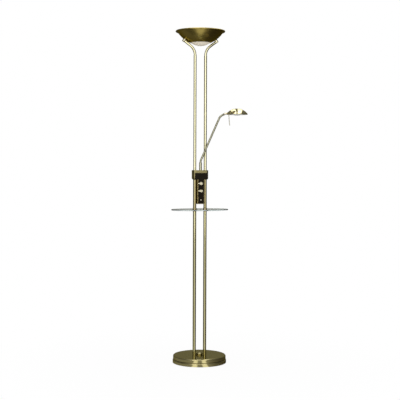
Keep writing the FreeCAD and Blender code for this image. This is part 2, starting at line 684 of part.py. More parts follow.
def make_shelf():
    half = "(shelf_length / 2)"
    deep = "(shelf_depth / 2)"
    reach = f"({half} - shelf_end_radius)"
    # the long sides are arcs that run into the rounded ends without a corner
    broad = f"(({reach} ^ 2 + {deep} ^ 2 - shelf_end_radius ^ 2) / (2 * ({deep} - shelf_end_radius)))"
    tangent_x = f"({reach} * {broad} / ({broad} - shelf_end_radius))"
    tangent_y = f"(({broad} - {deep}) * shelf_end_radius / ({broad} - shelf_end_radius))"
    glass = new_body("glass_shelf")
    outline = new_sketch(glass, "XY_Plane", "shelf_outline", shelf_bottom)
    add_path(outline, [
        (tangent_x, f"-{tangent_y}", "shelf_end_radius", reach, "0", 1),
        (tangent_x, tangent_y, broad, "0", f"{deep} - {broad}", 1),
        (f"-{tangent_x}", tangent_y, "shelf_end_radius", f"-{reach}", "0", 1),
        (f"-{tangent_x}", f"-{tangent_y}", broad, "0", f"{broad} - {deep}", 1),
    ])
    pad(glass, outline, "shelf_thick")
    top = size(shelf_top)
    bottom = size(shelf_bottom)
    round_edges(glass, "ground_edge", "shelf_edge", lambda e: level(e, top) or level(e, bottom))
    drill(glass, "shelf_holes", "nipple_radius + seat", poles, shelf_top, "shelf_thick + 1")

    collars = {"lower": [], "upper": []}
    pads, nipples = [], []
    for side, sign, turn_angle in sides:
        x = f"{sign} * {pole_x}"
        for where, base, flip in (("upper", f"{shelf_top} + pad_thick", "0"),
                                  ("lower", f"{shelf_bottom} - pad_thick", "180")):
            collar = turned(f"{where}_collar_{side}", [
                ("nipple_radius + fit", "0"),
                ("collar_radius", "0"),
                ("collar_radius", "collar_height / 2"),
                ("pole_radius", "collar_height"),
                (f"{inside_pole} - fit", "collar_height"),
                (f"{inside_pole} - fit", "collar_height + plug_depth"),
                ("nipple_radius + fit", "collar_height + plug_depth"),
            ])
            place(collar, x, "0", base, (1, 0, 0), flip)
            collars[where].append(collar)
        for where, base in (("upper", shelf_top), ("lower", f"{shelf_bottom} - pad_thick")):
            pads.append(tube(f"{where}_pad_{side}", "collar_radius", "nipple_radius + fit",
                             "pad_thick", x, "0", base))
        nipples.append(tube(f"shelf_nipple_{side}", "nipple_radius", "nipple_bore",
                            "shelf_thick + 2 * (pad_thick + collar_height + plug_depth - 2)", x, "0",
                            f"{shelf_bottom} - pad_thick - collar_height - plug_depth + 2"))
    group("shelf_lower_collars", collars["lower"])
    group("shelf_upper_collars", collars["upper"])
    group("shelf_washers", pads)
    group("shelf_nipples", nipples)


# ---- junction block and control housing ----

def make_block():
    half = f"({block_width} / 2)"
    inner = f"({half} - block_round)"
    block = new_body("junction_block")
    front = new_sketch(block, "XZ_Plane", "block_front")
    add_path(front, [
        (f"-{inner}", "block_bottom"),
        (inner, "block_bottom", "block_round", inner, "block_bottom + block_round", 1),
        (half, "block_bottom + block_round"),
        (half, block_top),
        (f"-{half}", block_top),
        (f"-{half}", "block_bottom + block_round", "block_round",
         f"-{inner}", "block_bottom + block_round", 1),
    ])
    pad(block, front, "block_depth", both=True)
    round_edges(block, "block_corners", "block_corner", upright)
    drill(block, "lower_sockets", "pole_radius + fit", poles, "block_bottom", "socket_depth",
          reverse=True)
    drill(block, "upper_bores", "upper_radius + fit", poles, block_top, "block_height")
    chamber = new_sketch(block, "XY_Plane", "wiring_chamber", block_top)
    # a hexagon lies with its flats along X
    add_rectangle(chamber, "chamber_width", "2 * (arm_forward + nut_radius * cos(30) + chamber_gap)")
    pocket(block, chamber, "block_height")
    set_screw_holes(block, "block_screw_holes", "block_bottom + socket_depth / 2")

    lid = new_body("junction_lid")
    outline = new_sketch(lid, "XY_Plane", "lid_outline", block_top)
    add_rectangle(outline, block_width, "block_depth")
    pad(lid, outline, "lid_height")
    round_edges(lid, "lid_corners", "block_corner", upright)
    drill(lid, "lid_bores", "upper_radius + fit", poles, lid_top, "lid_height")
    drill(lid, "sleeve_hole", "sleeve_nipple + fit", [("0", "-arm_forward")], lid_top, "lid_height")
    set_screw_holes(lid, "lid_screw_holes", f"{block_top} + lid_height / 2")

    screws = []
    for side, sign, turn_angle in sides:
        x = f"{sign} * {pole_x}"
        for where, height, radius in (("low", "block_bottom + socket_depth / 2", "pole_radius"),
                                      ("high", f"{block_top} + lid_height / 2", "upper_radius")):
            screws.append(rod(f"set_screw_{where}_{side}", "screw_radius", "screw_length",
                              x, f"{radius} + fit + screw_length", height, (1, 0, 0), "90"))
    group("tube_set_screws", screws)


def add_rectangle(sketch, wide, deep, tag=""):
    x = f"({wide} / 2)"
    y = f"({deep} / 2)"
    add_path(sketch, [(f"-{x}", f"-{y}"), (x, f"-{y}"), (x, y), (f"-{x}", y)], tag=tag)


def set_screw_holes(body, name, height):
    """Threaded holes from the rear face to the tubes."""
    holes = [(x, height) for x, y in poles]
    drill(body, name, "screw_radius + fit", holes, f"-{block_front}",
          f"{block_front} - pole_radius + 2", role="XZ_Plane", reverse=True)


def make_housing():
    deep = f"({block_front} + housing_back)"
    housing = new_body("control_housing")
    outline = new_sketch(housing, "XY_Plane", "housing_outline", housing_bottom)
    side_x = f"({housing_width} / 2)"
    add_path(outline, [
        (f"-{side_x}", f"-{block_front}"),
        (side_x, f"-{block_front}"),
        (side_x, "housing_back"),
        (f"-{side_x}", "housing_back"),
    ])
    pad(housing, outline, "housing_drop")
    hollow = new_sketch(housing, "XY_Plane", "housing_hollow", "block_bottom")
    hollow_x = f"({cavity_width} / 2)"
    add_path(hollow, [
        (f"-{hollow_x}", f"housing_wall - {block_front}"),
        (hollow_x, f"housing_wall - {block_front}"),
        (hollow_x, "housing_back - housing_wall"),
        (f"-{hollow_x}", "housing_back - housing_wall"),
    ])
    pocket(housing, hollow, "housing_drop - housing_wall")
    slot = new_sketch(housing, "XZ_Plane", "front_slot", block_front)
    slot_x = f"({housing_width} / 2 - fascia_margin - slot_margin)"
    add_path(slot, [
        (f"-{slot_x}", f"{housing_bottom} + housing_wall + 2"),
        (slot_x, f"{housing_bottom} + housing_wall + 2"),
        (slot_x, "block_bottom - 4"),
        (f"-{slot_x}", "block_bottom - 4"),
    ])
    pocket(housing, slot, "housing_wall + 1")
    post = new_sketch(housing, "XZ_Plane", "screw_post_outline", "housing_wall - housing_back - 1")
    add_circle(post, "screw_post", "0", fascia_screw_z)
    pad(housing, post, f"{deep} - housing_wall + 1")
    drill(housing, "post_hole", "fascia_screw_shank + fit", [("0", fascia_screw_z)],
          block_front, "fascia_screw_depth + 2", role="XZ_Plane")

    fascia = new_body("control_fascia")
    outline = new_sketch(fascia, "XZ_Plane", "fascia_outline", block_front)
    wide = f"({block_width} / 2 - fascia_side)"
    narrow = f"({housing_width} / 2 - fascia_margin)"
    bottom = f"({housing_bottom} + fascia_inset)"
    c = "fascia_corner"
    add_path(outline, [
        (f"{c} - {narrow}", bottom),
        (f"{narrow} - {c}", bottom, c, f"{narrow} - {c}", f"{bottom} + {c}", 1),
        (narrow, f"{bottom} + {c}"),
        (narrow, "block_bottom"),
        (f"{wide} - {c}", "block_bottom", c, f"{wide} - {c}", f"block_bottom + {c}", 1),
        (wide, f"block_bottom + {c}"),
        (wide, block_top),
        (f"-{wide}", block_top),
        (f"-{wide}", f"block_bottom + {c}", c, f"{c} - {wide}", f"block_bottom + {c}", 1),
        (f"{c} - {wide}", "block_bottom"),
        (f"-{narrow}", "block_bottom"),
        (f"-{narrow}", f"{bottom} + {c}", c, f"{c} - {narrow}", f"{bottom} + {c}", 1),
    ])
    pad(fascia, outline, "fascia_thick")
    drill(fascia, "shaft_holes", "shaft_hole", [("0", z) for name, z in dimmers],
          fascia_front, "fascia_thick + 1", role="XZ_Plane")
    drill(fascia, "panel_screw_hole", "fascia_screw_shank + fit", [("0", fascia_screw_z)],
          fascia_front, "fascia_thick + 1", role="XZ_Plane")

    head = "fascia_screw_head"
    rise = "fascia_screw_rise"
    dome = f"(({head} ^ 2 + ({rise} - 0.8) ^ 2) / (2 * ({rise} - 0.8)))"
    screw = turned("fascia_screw", [
        ("0", "-fascia_screw_depth"),
        ("fascia_screw_shank", "-fascia_screw_depth"),
        ("fascia_screw_shank", "0"),
        (head, "0"),
        (head, "0.8", dome, "0", f"{rise} - {dome}", 1),
        ("0", rise),
    ])
    place(screw, "0", f"-{fascia_front}", fascia_screw_z, (1, 0, 0), "90")


def make_dimmers():
    """Dimmer modules behind the panel, on their board, each with its shaft and pointer knob."""
    board_y = f"(dimmer_thick - {block_front})"
    board_bottom = f"({fascia_screw_z} + screw_post + board_foot)"
    box("dimmer_board", f"{cavity_width} - 2 * board_side", "board_thick",
        f"block_bottom - board_top - {board_bottom}", "0", f"{board_y} + board_thick / 2", board_bottom)
    shaft_start = f"({board_y} - 4)"
    shaft_end = f"(-{fascia_front} - knob_gap - knob_thick + 2)"
    for name, height in dimmers:
        case = box(f"{name}_dimmer_case", "dimmer_size", "dimmer_thick", "dimmer_size",
                   "0", f"{board_y} - dimmer_thick / 2", f"{height} - dimmer_size / 2")
        bore = rod(f"{name}_dimmer_bore", "shaft_radius + fit", "dimmer_thick - 3",
                   "0", f"{board_y} - 3", height, (1, 0, 0), "90")
        cut(f"{name}_dimmer", case, bore)
        rod(f"{name}_shaft", "shaft_radius", f"{shaft_start} - {shaft_end}",
            "0", shaft_start, height, (1, 0, 0), "90")
        make_knob(f"{name}_knob", height)


def make_knob(name, height):
    """A hub that tapers to a pointer; the pointer lies to the left at rest."""
    lean = "((knob_hub - knob_tip) / knob_reach)"
    across = f"sqrt(1 - {lean} ^ 2)"
    knob = new_body(name)
    outline = new_sketch(knob, "XZ_Plane", f"{name}_outline")
    add_path(outline, [
        (f"-knob_hub * {lean}", f"-knob_hub * {across}", "knob_hub", "0", "0", 1),
        (f"-knob_hub * {lean}", f"knob_hub * {across}"),
        (f"-knob_reach - knob_tip * {lean}", f"knob_tip * {across}", "knob_tip", "-knob_reach", "0", 1),
        (f"-knob_reach - knob_tip * {lean}", f"-knob_tip * {across}"),
    ])
    pad(knob, outline, "knob_thick")
    round_edges(knob, f"{name}_pointer_edge", "pointer_edge", lambda e: facing(e, "knob_thick"))
    crown = new_sketch(knob, "XZ_Plane", f"{name}_crown", "knob_thick")
    add_circle(crown, "knob_hub - knob_edge")
    pad(knob, crown, "knob_crown")
    round_edges(knob, f"{name}_edge", "knob_edge", lambda e: facing(e, "knob_thick + knob_crown"))
    drill(knob, f"{name}_bore", "shaft_radius + fit", [("0", "0")], "0", "knob_thick - 1.9",
          role="XZ_Plane", reverse=True)
    place(knob, "0", f"-{fascia_front} - knob_gap", height)


# ---- bowl ----

def make_bowl():
    inner_opening = f"({sphere_height} - sqrt({inner_sphere} ^ 2 - opening_radius ^ 2))"
    top = "(rim_height - bead_radius / 2)"
    outer_top = f"sqrt(bowl_radius ^ 2 - ({sphere_height} - {top}) ^ 2)"
    inner_top = f"sqrt({inner_sphere} ^ 2 - ({sphere_height} - {top}) ^ 2)"
    bowl = turned("uplight_bowl", [
        ("opening_radius", opening_height, "bowl_radius", "0", sphere_height, 1),
        (outer_top, top),
        (inner_top, top, inner_sphere, "0", sphere_height, -1),
        ("opening_radius", inner_opening),
    ])
    bead = new_sketch(bowl, "XZ_Plane", "rolled_rim")
    add_circle(bead, "bead_radius", f"{outer_top} + bead_offset", "rim_height - bead_radius")
    turn(bowl, bead)
    doc.recompute()
    for side, sign, turn_angle in sides:
        # holes square to the wall for the bolts, cut by a turned groove along each knuckle's axis
        hole = new_sketch(bowl, "XZ_Plane", f"{side}_bolt_hole")
        near = f"({inner_sphere} - 2)"
        far = "(bowl_radius + 2)"
        s = f"{sign} * sin(knuckle_angle)"
        c = "cos(knuckle_angle)"
        r = "(bolt_radius + fit)"
        corners = []
        for distance, offset in ((near, "0"), (far, "0"), (far, r), (near, r)):
            x = f"{s} * {distance} + {offset} * {c}"
            z = f"{sphere_height} - {c} * {distance} + {offset} * {s}"
            corners.append((x, z))
        add_path(hole, corners)
        groove = bowl.newObject("PartDesign::Groove", f"{side}_bolt_groove")
        groove.Profile = hole
        groove.ReferenceAxis = (hole, ["Edge1"])
        groove.Angle = 360
        doc.recompute()

    dish_radius = "(opening_radius - dish_gap)"
    cap = f"(({dish_radius} ^ 2 + dish_sag ^ 2) / (2 * dish_sag))"
    inner_dish = f"({dish_radius} - dish_thick)"
    skirt = f"({dish_seat} - dish_skirt)"
    inner_cap = f"({cap} - dish_thick)"
    centre = f"({skirt} - dish_sag + {cap})"
    inner_skirt = f"({centre} - sqrt({inner_cap} ^ 2 - {inner_dish} ^ 2))"
    turned("glass_dish", [
        ("0", f"{skirt} - dish_sag", cap, "0", centre, 1),
        (dish_radius, skirt),
        (dish_radius, dish_seat),
        (dish_rim_radius, dish_seat),
        (dish_rim_radius, f"{dish_seat} + dish_thick"),
        (inner_dish, f"{dish_seat} + dish_thick"),
        (inner_dish, inner_skirt, inner_cap, "0", centre, -1),
        ("0", f"{centre} - {inner_cap}"),
    ])
    ring_bottom = f"({dish_seat} + dish_thick + seat)"
    ring_outer = f"(sqrt({inner_sphere} ^ 2 - ({sphere_height} - {ring_bottom}) ^ 2) - ring_gap)"
    tube("dish_ring", ring_outer, "opening_radius - ring_inset", "ring_thick", "0", "0", ring_bottom)

    bolts = []
    for side, sign, turn_angle in sides:
        knuckle = turned(f"{side}_bowl_knuckle", [
            ("bolt_radius + fit", "0"),
            ("knuckle_radius", "0"),
            ("knuckle_radius", "knuckle_length - knuckle_dome", "knuckle_dome",
             "knuckle_radius - knuckle_dome", "knuckle_length - knuckle_dome", 1),
            ("knuckle_radius - knuckle_dome", "knuckle_length"),
            ("0", "knuckle_length"),
            ("0", "bolt_depth"),
            ("bolt_radius + fit", "bolt_depth"),
        ])
        stand_on_wall(knuckle, side, f"bowl_radius + seat")
        reach = f"(bowl_radius + seat + bolt_depth - 1 - {foot_top} + seat)"
        bolt = turned(f"bowl_bolt_{side}", [
            ("0", "-bolt_head_thick"),
            ("bolt_head", "-bolt_head_thick"),
            ("bolt_head", "0"),
            ("bolt_radius", "0"),
            ("bolt_radius", reach),
            ("0", reach),
        ])
        stand_on_wall(bolt, side, f"{foot_top} - seat")
        bolts.append(bolt)
    group("bowl_bolts", bolts)


def make_lamp():
    """Bracket across the bowl, lampholders, linear lamp and guard glass."""
    # middle of each foot's lower face on its knuckle's axis, and half its length along the wall
    across = f"({foot_seat} * sin(knuckle_angle))"
    down = f"({foot_seat} * cos(knuckle_angle))"
    half_x = "(foot_length / 2 * cos(knuckle_angle))"
    half_z = "(foot_length / 2 * sin(knuckle_angle))"
    leg_height = f"(bracket_rise + {half_z} - bracket_thick / 2)"
    # the legs stand on the inner ends of the feet
    half_span = f"({across} - {half_x} + bracket_thick / 4)"
    bridge = box("bracket_bridge", f"2 * {half_span}", "bracket_width", "bracket_thick",
                 "0", "0", f"{bridge_top} - bracket_thick")
    members = [bridge]
    for side, sign, turn_angle in sides:
        members.append(box(f"bracket_leg_{side}", "bracket_thick", "bracket_width", leg_height,
                           f"{sign} * ({half_span} - bracket_thick / 2)", "0",
                           f"{bridge_top} - {leg_height}"))
        foot = doc.addObject("Part::Box", f"bracket_foot_{side}")
        bind(foot, Length="foot_length", Width="bracket_width", Height="bracket_thick")
        place(foot, f"{sign} * {across} - {half_x}", "-bracket_width / 2",
              f"{sphere_height} - {down} - {sign} * {half_z}", (0, 1, 0), f"-({sign} * knuckle_angle)")
        members.append(foot)
    blank = fuse("bracket_blank", *members)
    holes = []
    for side, sign, turn_angle in sides:
        hole = rod(f"bracket_hole_{side}", "bolt_radius + fit", "10")
        holes.append(stand_on_wall(hole, side, f"{inner_sphere} - 6"))
    cut("lamp_bracket", blank, fuse("bracket_holes", *holes))

    inner = "(lamp_length / 2 - holder_grip)"
    lamp_z = f"({bridge_top} + lamp_rise)"
    holder_height = "(lamp_rise + lamp_radius + guard_gap)"
    holders = []
    for side, sign, turn_angle in sides:
        block = box(f"holder_block_{side}", "holder_thick", "holder_width", holder_height,
                    f"{sign} * ({inner} + holder_thick / 2)", "0", bridge_top)
        cup = rod(f"holder_cup_{side}", "lamp_cap_radius + fit", "holder_grip",
                  f"{sign} * {inner}", "0", lamp_z, (0, 1, 0), f"{sign} * 90")
        holders.append(cut(f"holder_{side}", block, cup))
    group("lampholders", holders)

    end = "(lamp_length / 2)"
    neck = "(lamp_length / 2 - lamp_cap_length)"
    lamp = turned("halogen_lamp", [
        ("0", f"-{end}"),
        ("lamp_cap_radius", f"-{end}"),
        ("lamp_cap_radius", f"-{neck}"),
        ("lamp_radius", f"3 - {neck}"),
        ("lamp_radius", f"{neck} - 3"),
        ("lamp_cap_radius", neck),
        ("lamp_cap_radius", end),
        ("0", end),
    ])
    place(lamp, "0", "0", lamp_z, (0, 1, 0), "90")
    box("guard_glass", "guard_length", "guard_width", "guard_thick", "0", "0",
        f"{bridge_top} + {holder_height}")


# ---- reading arm ----

def make_arm():
    sleeve = turned("arm_sleeve", [
        ("nipple_bore", "-lid_height - nut_thick"),
        ("sleeve_nipple", "-lid_height - nut_thick"),
        ("sleeve_nipple", "0"),
        (sleeve_radius, "0"),
        (sleeve_radius, "sleeve_height - 2"),
        (f"{sleeve_radius} - 1", "sleeve_height"),
        ("goose_radius + fit", "sleeve_height"),
        ("goose_radius + fit", "sleeve_floor"),
        ("nipple_bore", "sleeve_floor"),
    ])
    place(sleeve, "0", "-arm_forward", lid_top)
    hexagon_nut("arm_nut", "0", "-arm_forward", f"{block_top} - nut_thick", "sleeve_nipple + fit")

    # lower piece: upright in the sleeve, with a ball end
    ball = "goose_radius"
    start = f"({lid_top} + sleeve_floor + fit)"
    lower = turned("gooseneck_lower", [
        ("0", start),
        (ball, start),
        (ball, first_ball_z, ball, "0", first_ball_z, 1),
        ("0", f"{first_ball_z} + {ball}"),
    ])
    in_arm(lower)

    # middle piece: straight, a cup at its foot and a ball at its top
    cup = "(goose_radius + ball_gap)"
    rim = f"sqrt({cup} ^ 2 - cup_start ^ 2)"
    middle = turned("gooseneck_middle", [
        ("0", cup, cup, "0", "0", -1),
        (rim, "cup_start"),
        (ball, "cup_start"),
        (ball, "middle_length", ball, "0", "middle_length", 1),
        ("0", f"middle_length + {ball}"),
    ])
    stand_leaning(middle, "0", first_ball_z)

    # upper piece: a cup at its foot, straight, one bend, straight
    upper = new_body("gooseneck_upper_blank")
    path = new_sketch(upper, "XZ_Plane", "upper_path")
    add_path(path, [
        ("cup_start * sin(arm_lean)", "cup_start * cos(arm_lean)"),
        ("upper_run * sin(arm_lean)", "upper_run * cos(arm_lean)", "upper_bend_radius",
         "upper_run * sin(arm_lean) + upper_bend_radius * cos(arm_lean)",
         "upper_run * cos(arm_lean) - upper_bend_radius * sin(arm_lean)", -1),
        (f"{turned_u} - {second_ball_u}", f"{turned_z} - {second_ball_z}"),
        (f"{tip_u} - {second_ball_u}", f"{tip_z} - {second_ball_z}"),
    ], closed=False)
    ring = new_sketch(upper, "XY_Plane", "upper_section")
    add_circle(ring, "goose_radius")
    # the section stands square to the path's first run
    ring.AttachmentOffset = FreeCAD.Placement(FreeCAD.Vector(), FreeCAD.Rotation(FreeCAD.Vector(0, 1, 0), 10))
    bind(ring, AttachmentOffset__Rotation__Angle="arm_lean",
         AttachmentOffset__Base__x="cup_start * sin(arm_lean)",
         AttachmentOffset__Base__z="cup_start * cos(arm_lean)")
    pipe = upper.newObject("PartDesign::AdditivePipe", "upper_pipe")
    pipe.Profile = ring
    pipe.Spine = path
    in_arm(upper, second_ball_u, second_ball_z)
    hollow = doc.addObject("Part::Sphere", "upper_cup")
    bind(hollow, Radius=cup)
    in_arm(hollow, second_ball_u, second_ball_z)
    cut("gooseneck_upper", upper, hollow)


def stand_leaning(thing, u, z):
    """Lean an object modelled along +Z over in the plane of the arm, by the arm's lean."""
    x = f"{u} * cos(arm_azimuth)"
    y = f"-arm_forward - {u} * sin(arm_azimuth)"
    thing.Placement = FreeCAD.Placement(FreeCAD.Vector(), lean_rotation(size("arm_azimuth"), size("arm_lean")))
    bind(thing, Placement__Base__x=x, Placement__Base__y=y, Placement__Base__z=z)


def lean_rotation(azimuth, lean):
    """First lean about Y towards +X, then turn about Z."""
    about_z = FreeCAD.Rotation(FreeCAD.Vector(0, 0, 1), -azimuth)
    about_y = FreeCAD.Rotation(FreeCAD.Vector(0, 1, 0), lean)
    return about_z.multiply(about_y)


def make_tilt_joint():
    """Fork on the end of the flexible tube, pin, and the lug of the head between its cheeks."""
    outer = "(lug_thick / 2 + cheek_gap + cheek_thick)"
    slot = "(lug_thick / 2 + cheek_gap)"
    # in the fork's own frame the pivot is the origin and the tube comes from -X
    back = "(-pivot_reach)"
    fork = new_body("arm_fork")
    outline = new_sketch(fork, "XZ_Plane", "fork_outline")
    add_path(outline, [
        (back, "-fork_radius"),
        ("0", "-fork_radius", "fork_radius", "0", "0", 1),
        ("0", "fork_radius"),
        (back, "fork_radius"),
    ])
    pad(fork, outline, f"2 * {outer}", both=True)
    gap = new_sketch(fork, "XZ_Plane", "fork_gap")
    add_path(gap, [
        ("-fork_radius - fork_clear", "-fork_radius - 1"),
        ("fork_radius + 1", "-fork_radius - 1"),
        ("fork_radius + 1", "fork_radius + 1"),
        ("-fork_radius - fork_clear", "fork_radius + 1"),
    ])
    pocket(fork, gap, f"2 * {slot}", both=True)
    drill(fork, "fork_hole", "pin_radius + fit", [("0", "0")], f"{outer} + 1", f"2 * {outer} + 2",
          role="XZ_Plane")
    lean_with_end(fork)

    pin = turned("tilt_pin", [
        ("0", f"-{outer} - pin_head_thick"),
        ("pin_head", f"-{outer} - pin_head_thick"),
        ("pin_head", f"-{outer} - fit"),
        ("pin_radius", f"-{outer} - fit"),
        ("pin_radius", f"{outer} + fit"),
        ("pin_head", f"{outer} + fit"),
        ("pin_head", f"{outer} + pin_head_thick"),
        ("0", f"{outer} + pin_head_thick"),
    ])
    x = f"{pivot_u} * cos(arm_azimuth)"
    y = f"-arm_forward - {pivot_u} * sin(arm_azimuth)"
    about_z = FreeCAD.Rotation(FreeCAD.Vector(0, 0, 1), -size("arm_azimuth"))
    pin.Placement = FreeCAD.Placement(
        FreeCAD.Vector(), about_z.multiply(FreeCAD.Rotation(FreeCAD.Vector(1, 0, 0), 90)))
    bind(pin, Placement__Base__x=x, Placement__Base__y=y, Placement__Base__z=pivot_z)


def lean_with_end(thing):
    """Set an object modelled along +X in line with the end of the flexible tube, at the pivot."""
    x = f"{pivot_u} * cos(arm_azimuth)"
    y = f"-arm_forward - {pivot_u} * sin(arm_azimuth)"
    lean = size(end_lean) - 90
    thing.Placement = FreeCAD.Placement(FreeCAD.Vector(), lean_rotation(size("arm_azimuth"), lean))
    bind(thing, Placement__Base__x=x, Placement__Base__y=y, Placement__Base__z=pivot_z)


# ---- reading head ----

def make_head():
    """Every piece is turned about the head's own axis, with the rim of the shade at height 0."""
    dome_rise = "(shade_height - shade_lip)"
    dome = f"((shade_radius ^ 2 + {dome_rise} ^ 2) / (2 * {dome_rise}))"
    centre = f"(shade_height - {dome})"
    w = "shade_wall"
    inner_lip = f"({centre} + sqrt(({dome} - {w}) ^ 2 - (shade_radius - {w}) ^ 2))"
    shade = turned("shade_shell", [
        ("shade_radius", "0"),
        ("shade_radius", "shade_lip", dome, "0", centre, 1),
        ("0", "shade_height"),
        ("0", f"shade_height - {w}", f"{dome} - {w}", "0", centre, -1),
        (f"shade_radius - {w}", inner_lip),
        (f"shade_radius - {w}", "0"),
    ])
    in_arm(shade, head_u, shade_rim)
    # lug that stands out to the pivot from the middle of the shade's wall
    lug_top = f"(sqrt(({dome} - {w} / 2) ^ 2 - (head_drop + fork_radius - {centre}) ^ 2))"
    lug = new_body("shade_lug")
    outline = new_sketch(lug, "XZ_Plane", "lug_outline")
    add_path(outline, [
        ("0", "fork_radius", "fork_radius", "0", "0", 1),
        ("0", "-fork_radius"),
        (f"head_gap + {w} / 2", "-fork_radius"),
        (f"head_gap + {w} / 2", "shade_lip - head_drop"),
        (f"head_gap + shade_radius - {lug_top}", "fork_radius"),
    ])
    pad(lug, outline, "lug_thick", both=True)
    drill(lug, "lug_hole", "pin_radius + fit", [("0", "0")], "lug_thick", "2 * lug_thick",
          role="XZ_Plane")
    in_arm(lug, pivot_u, pivot_z)
    fuse("reading_shade", shade, lug)

    baffle = "(shade_radius - shade_wall - fit)"
    ring = turned("lens_ring", [
        ("baffle_inner", "baffle_inset"),
        (baffle, "baffle_inset"),
        (baffle, "baffle_inset + baffle_thick"),
        ("baffle_inner", "baffle_inset + baffle_thick"),
    ])
    drill(ring, "handle_hole", "handle_radius + fit + 0.3", [("-handle_reach", "0")],
          "baffle_inset + baffle_thick + 1", "baffle_thick + 2")
    in_arm(ring, head_u, shade_rim)

    lens_top = "(baffle_inset + baffle_thick + seat)"
    lens_radius = "(baffle_inner + lens_lap)"
    cap_r = "(baffle_inner - lens_gap)"
    cap = f"(({cap_r} ^ 2 + lens_sag ^ 2) / (2 * lens_sag))"
    cap_centre = f"({lens_top} - lens_sag + {cap})"
    inner_cap = f"({cap} - lens_thick)"
    lens = turned("reading_lens", [
        ("0", f"{cap_centre} - {cap}", cap, "0", cap_centre, 1),
        (cap_r, lens_top),
        (lens_radius, lens_top),
        (lens_radius, f"{lens_top} + lens_thick"),
        (f"{cap_r} - lens_thick", f"{lens_top} + lens_thick"),
        (f"{cap_r} - lens_thick", f"{cap_centre} - sqrt({inner_cap} ^ 2 - ({cap_r} - lens_thick) ^ 2)",
         inner_cap, "0", cap_centre, -1),
        ("0", f"{cap_centre} - {inner_cap}"),
    ])
    in_arm(lens, head_u, shade_rim)

    t = "reflector_thick"
    foot = f"({lens_top} + lens_thick + seat)"
    reflector = turned("head_reflector", [
        (lens_radius, foot),
        (f"{lens_radius} + {t}", foot),
        (f"reflector_top + {t}", f"{foot} + reflector_height"),
        ("reflector_top", f"{foot} + reflector_height"),
    ])
    in_arm(reflector, head_u, shade_rim)

    socket_top = f"(shade_height - {w} - seat)"
    socket = doc.addObject("Part::Box", "socket_block")
    bind(socket, Length="socket_size", Width="socket_size", Height="socket_height")
    corner_x = f"(({head_u} - socket_size / 2) * cos(arm_azimuth) - socket_size / 2 * sin(arm_azimuth))"
    corner_y = f"(({head_u} - socket_size / 2) * sin(arm_azimuth) + socket_size / 2 * cos(arm_azimuth))"
    flat = f"({socket_top} - {dome} + sqrt({dome} ^ 2 - socket_size ^ 2 / 2) - socket_height)"
    place(socket, corner_x, f"-arm_forward - {corner_y}", f"{shade_rim} + {flat}",
          (0, 0, 1), "-arm_azimuth")
    well = rod("socket_well", "capsule_radius + fit", "capsule_seat")
    in_arm(well, head_u, f"{shade_rim} + {flat}")
    cut("head_lampholder", socket, well)
    capsule = turned("capsule_lamp", [
        ("0", f"{flat} + capsule_seat"),
        ("0", f"{flat} + capsule_seat - capsule_length"),
        ("capsule_radius - 2", f"{flat} + capsule_seat - capsule_length", "2",
         "capsule_radius - 2", f"{flat} + capsule_seat - capsule_length + 2", 1),
        ("capsule_radius", f"{flat} + capsule_seat - capsule_length + 2"),
        ("capsule_radius", f"{flat} + capsule_seat"),
    ])
    in_arm(capsule, head_u, shade_rim)

    # the leaning collar touches the ring with its edge
    collar_top = "(-handle_collar * tan(handle_lean))"
    handle = turned("aiming_handle", [
        ("0", "handle_radius - handle_length", "handle_radius",
         "0", "2 * handle_radius - handle_length", 1),
        ("handle_radius", "2 * handle_radius - handle_length"),
        ("handle_radius", f"{collar_top} - handle_collar_thick"),
        ("handle_collar", f"{collar_top} - handle_collar_thick"),
        ("handle_collar", collar_top),
        ("handle_radius", collar_top),
        ("handle_radius", "baffle_thick + 2"),
        ("0", "baffle_thick + 2"),
    ])
    u = f"({head_u} - handle_reach)"
    x = f"{u} * cos(arm_azimuth)"
    y = f"-arm_forward - {u} * sin(arm_azimuth)"
    handle.Placement = FreeCAD.Placement(
        FreeCAD.Vector(), lean_rotation(size("arm_azimuth"), -size("handle_lean")))
    bind(handle, Placement__Base__x=x, Placement__Base__y=y,
         Placement__Base__z=f"{shade_rim} + baffle_inset - seat")


make_base()
make_foot_fittings()
make_poles()
make_shelf()
make_block()
make_housing()
make_dimmers()
make_bowl()
make_lamp()
make_arm()
make_tilt_joint()
make_head()
doc.recompute()

NODES = (
    "base_felt", "base_plate", "base_weight", "base_cover", "cable_bush", "centre_boss",
    "foot_plugs", "foot_nipples", "foot_washers", "foot_nuts",
    "left_lower_tube", "right_lower_tube", "left_middle_tube", "right_middle_tube",
    "left_upper_tube", "right_upper_tube", "left_swan_neck", "right_swan_neck",
    "glass_shelf", "shelf_lower_collars", "shelf_upper_collars", "shelf_washers", "shelf_nipples",
    "junction_block", "junction_lid", "tube_set_screws", "control_housing", "control_fascia",
    "fascia_screw", "dimmer_board", "uplight_dimmer", "reading_dimmer", "uplight_shaft",
    "reading_shaft", "uplight_knob", "reading_knob",
    "uplight_bowl", "glass_dish", "dish_ring", "left_bowl_knuckle", "right_bowl_knuckle",
    "bowl_bolts", "lamp_bracket", "lampholders", "halogen_lamp", "guard_glass",
    "arm_sleeve", "arm_nut", "gooseneck_lower", "gooseneck_middle", "gooseneck_upper",
    "arm_fork", "tilt_pin", "reading_shade", "lens_ring", "reading_lens", "head_reflector",
    "head_lampholder", "capsule_lamp", "aiming_handle",
)

faults = []
for thing in doc.Objects:
    if "Invalid" in thing.State or "Error" in thing.State:
        faults.append(f"{thing.Name}: {thing.State}")
for node in NODES:
    found = doc.getObjectsByLabel(node)
    if len(found) != 1:
        faults.append(f"{node}: {len(found)} objects")
    elif found[0].Shape.isNull() or not found[0].Shape.isValid():
        faults.append(f"{node}: bad shape")
if faults:
    raise SystemExit("\n".join(faults))

for node in NODES:
    doc.getObjectsByLabel(node)[0].Shape.exportStep(f"parts/{node}.step")
print(len(NODES), "nodes")
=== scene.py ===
import json
import math

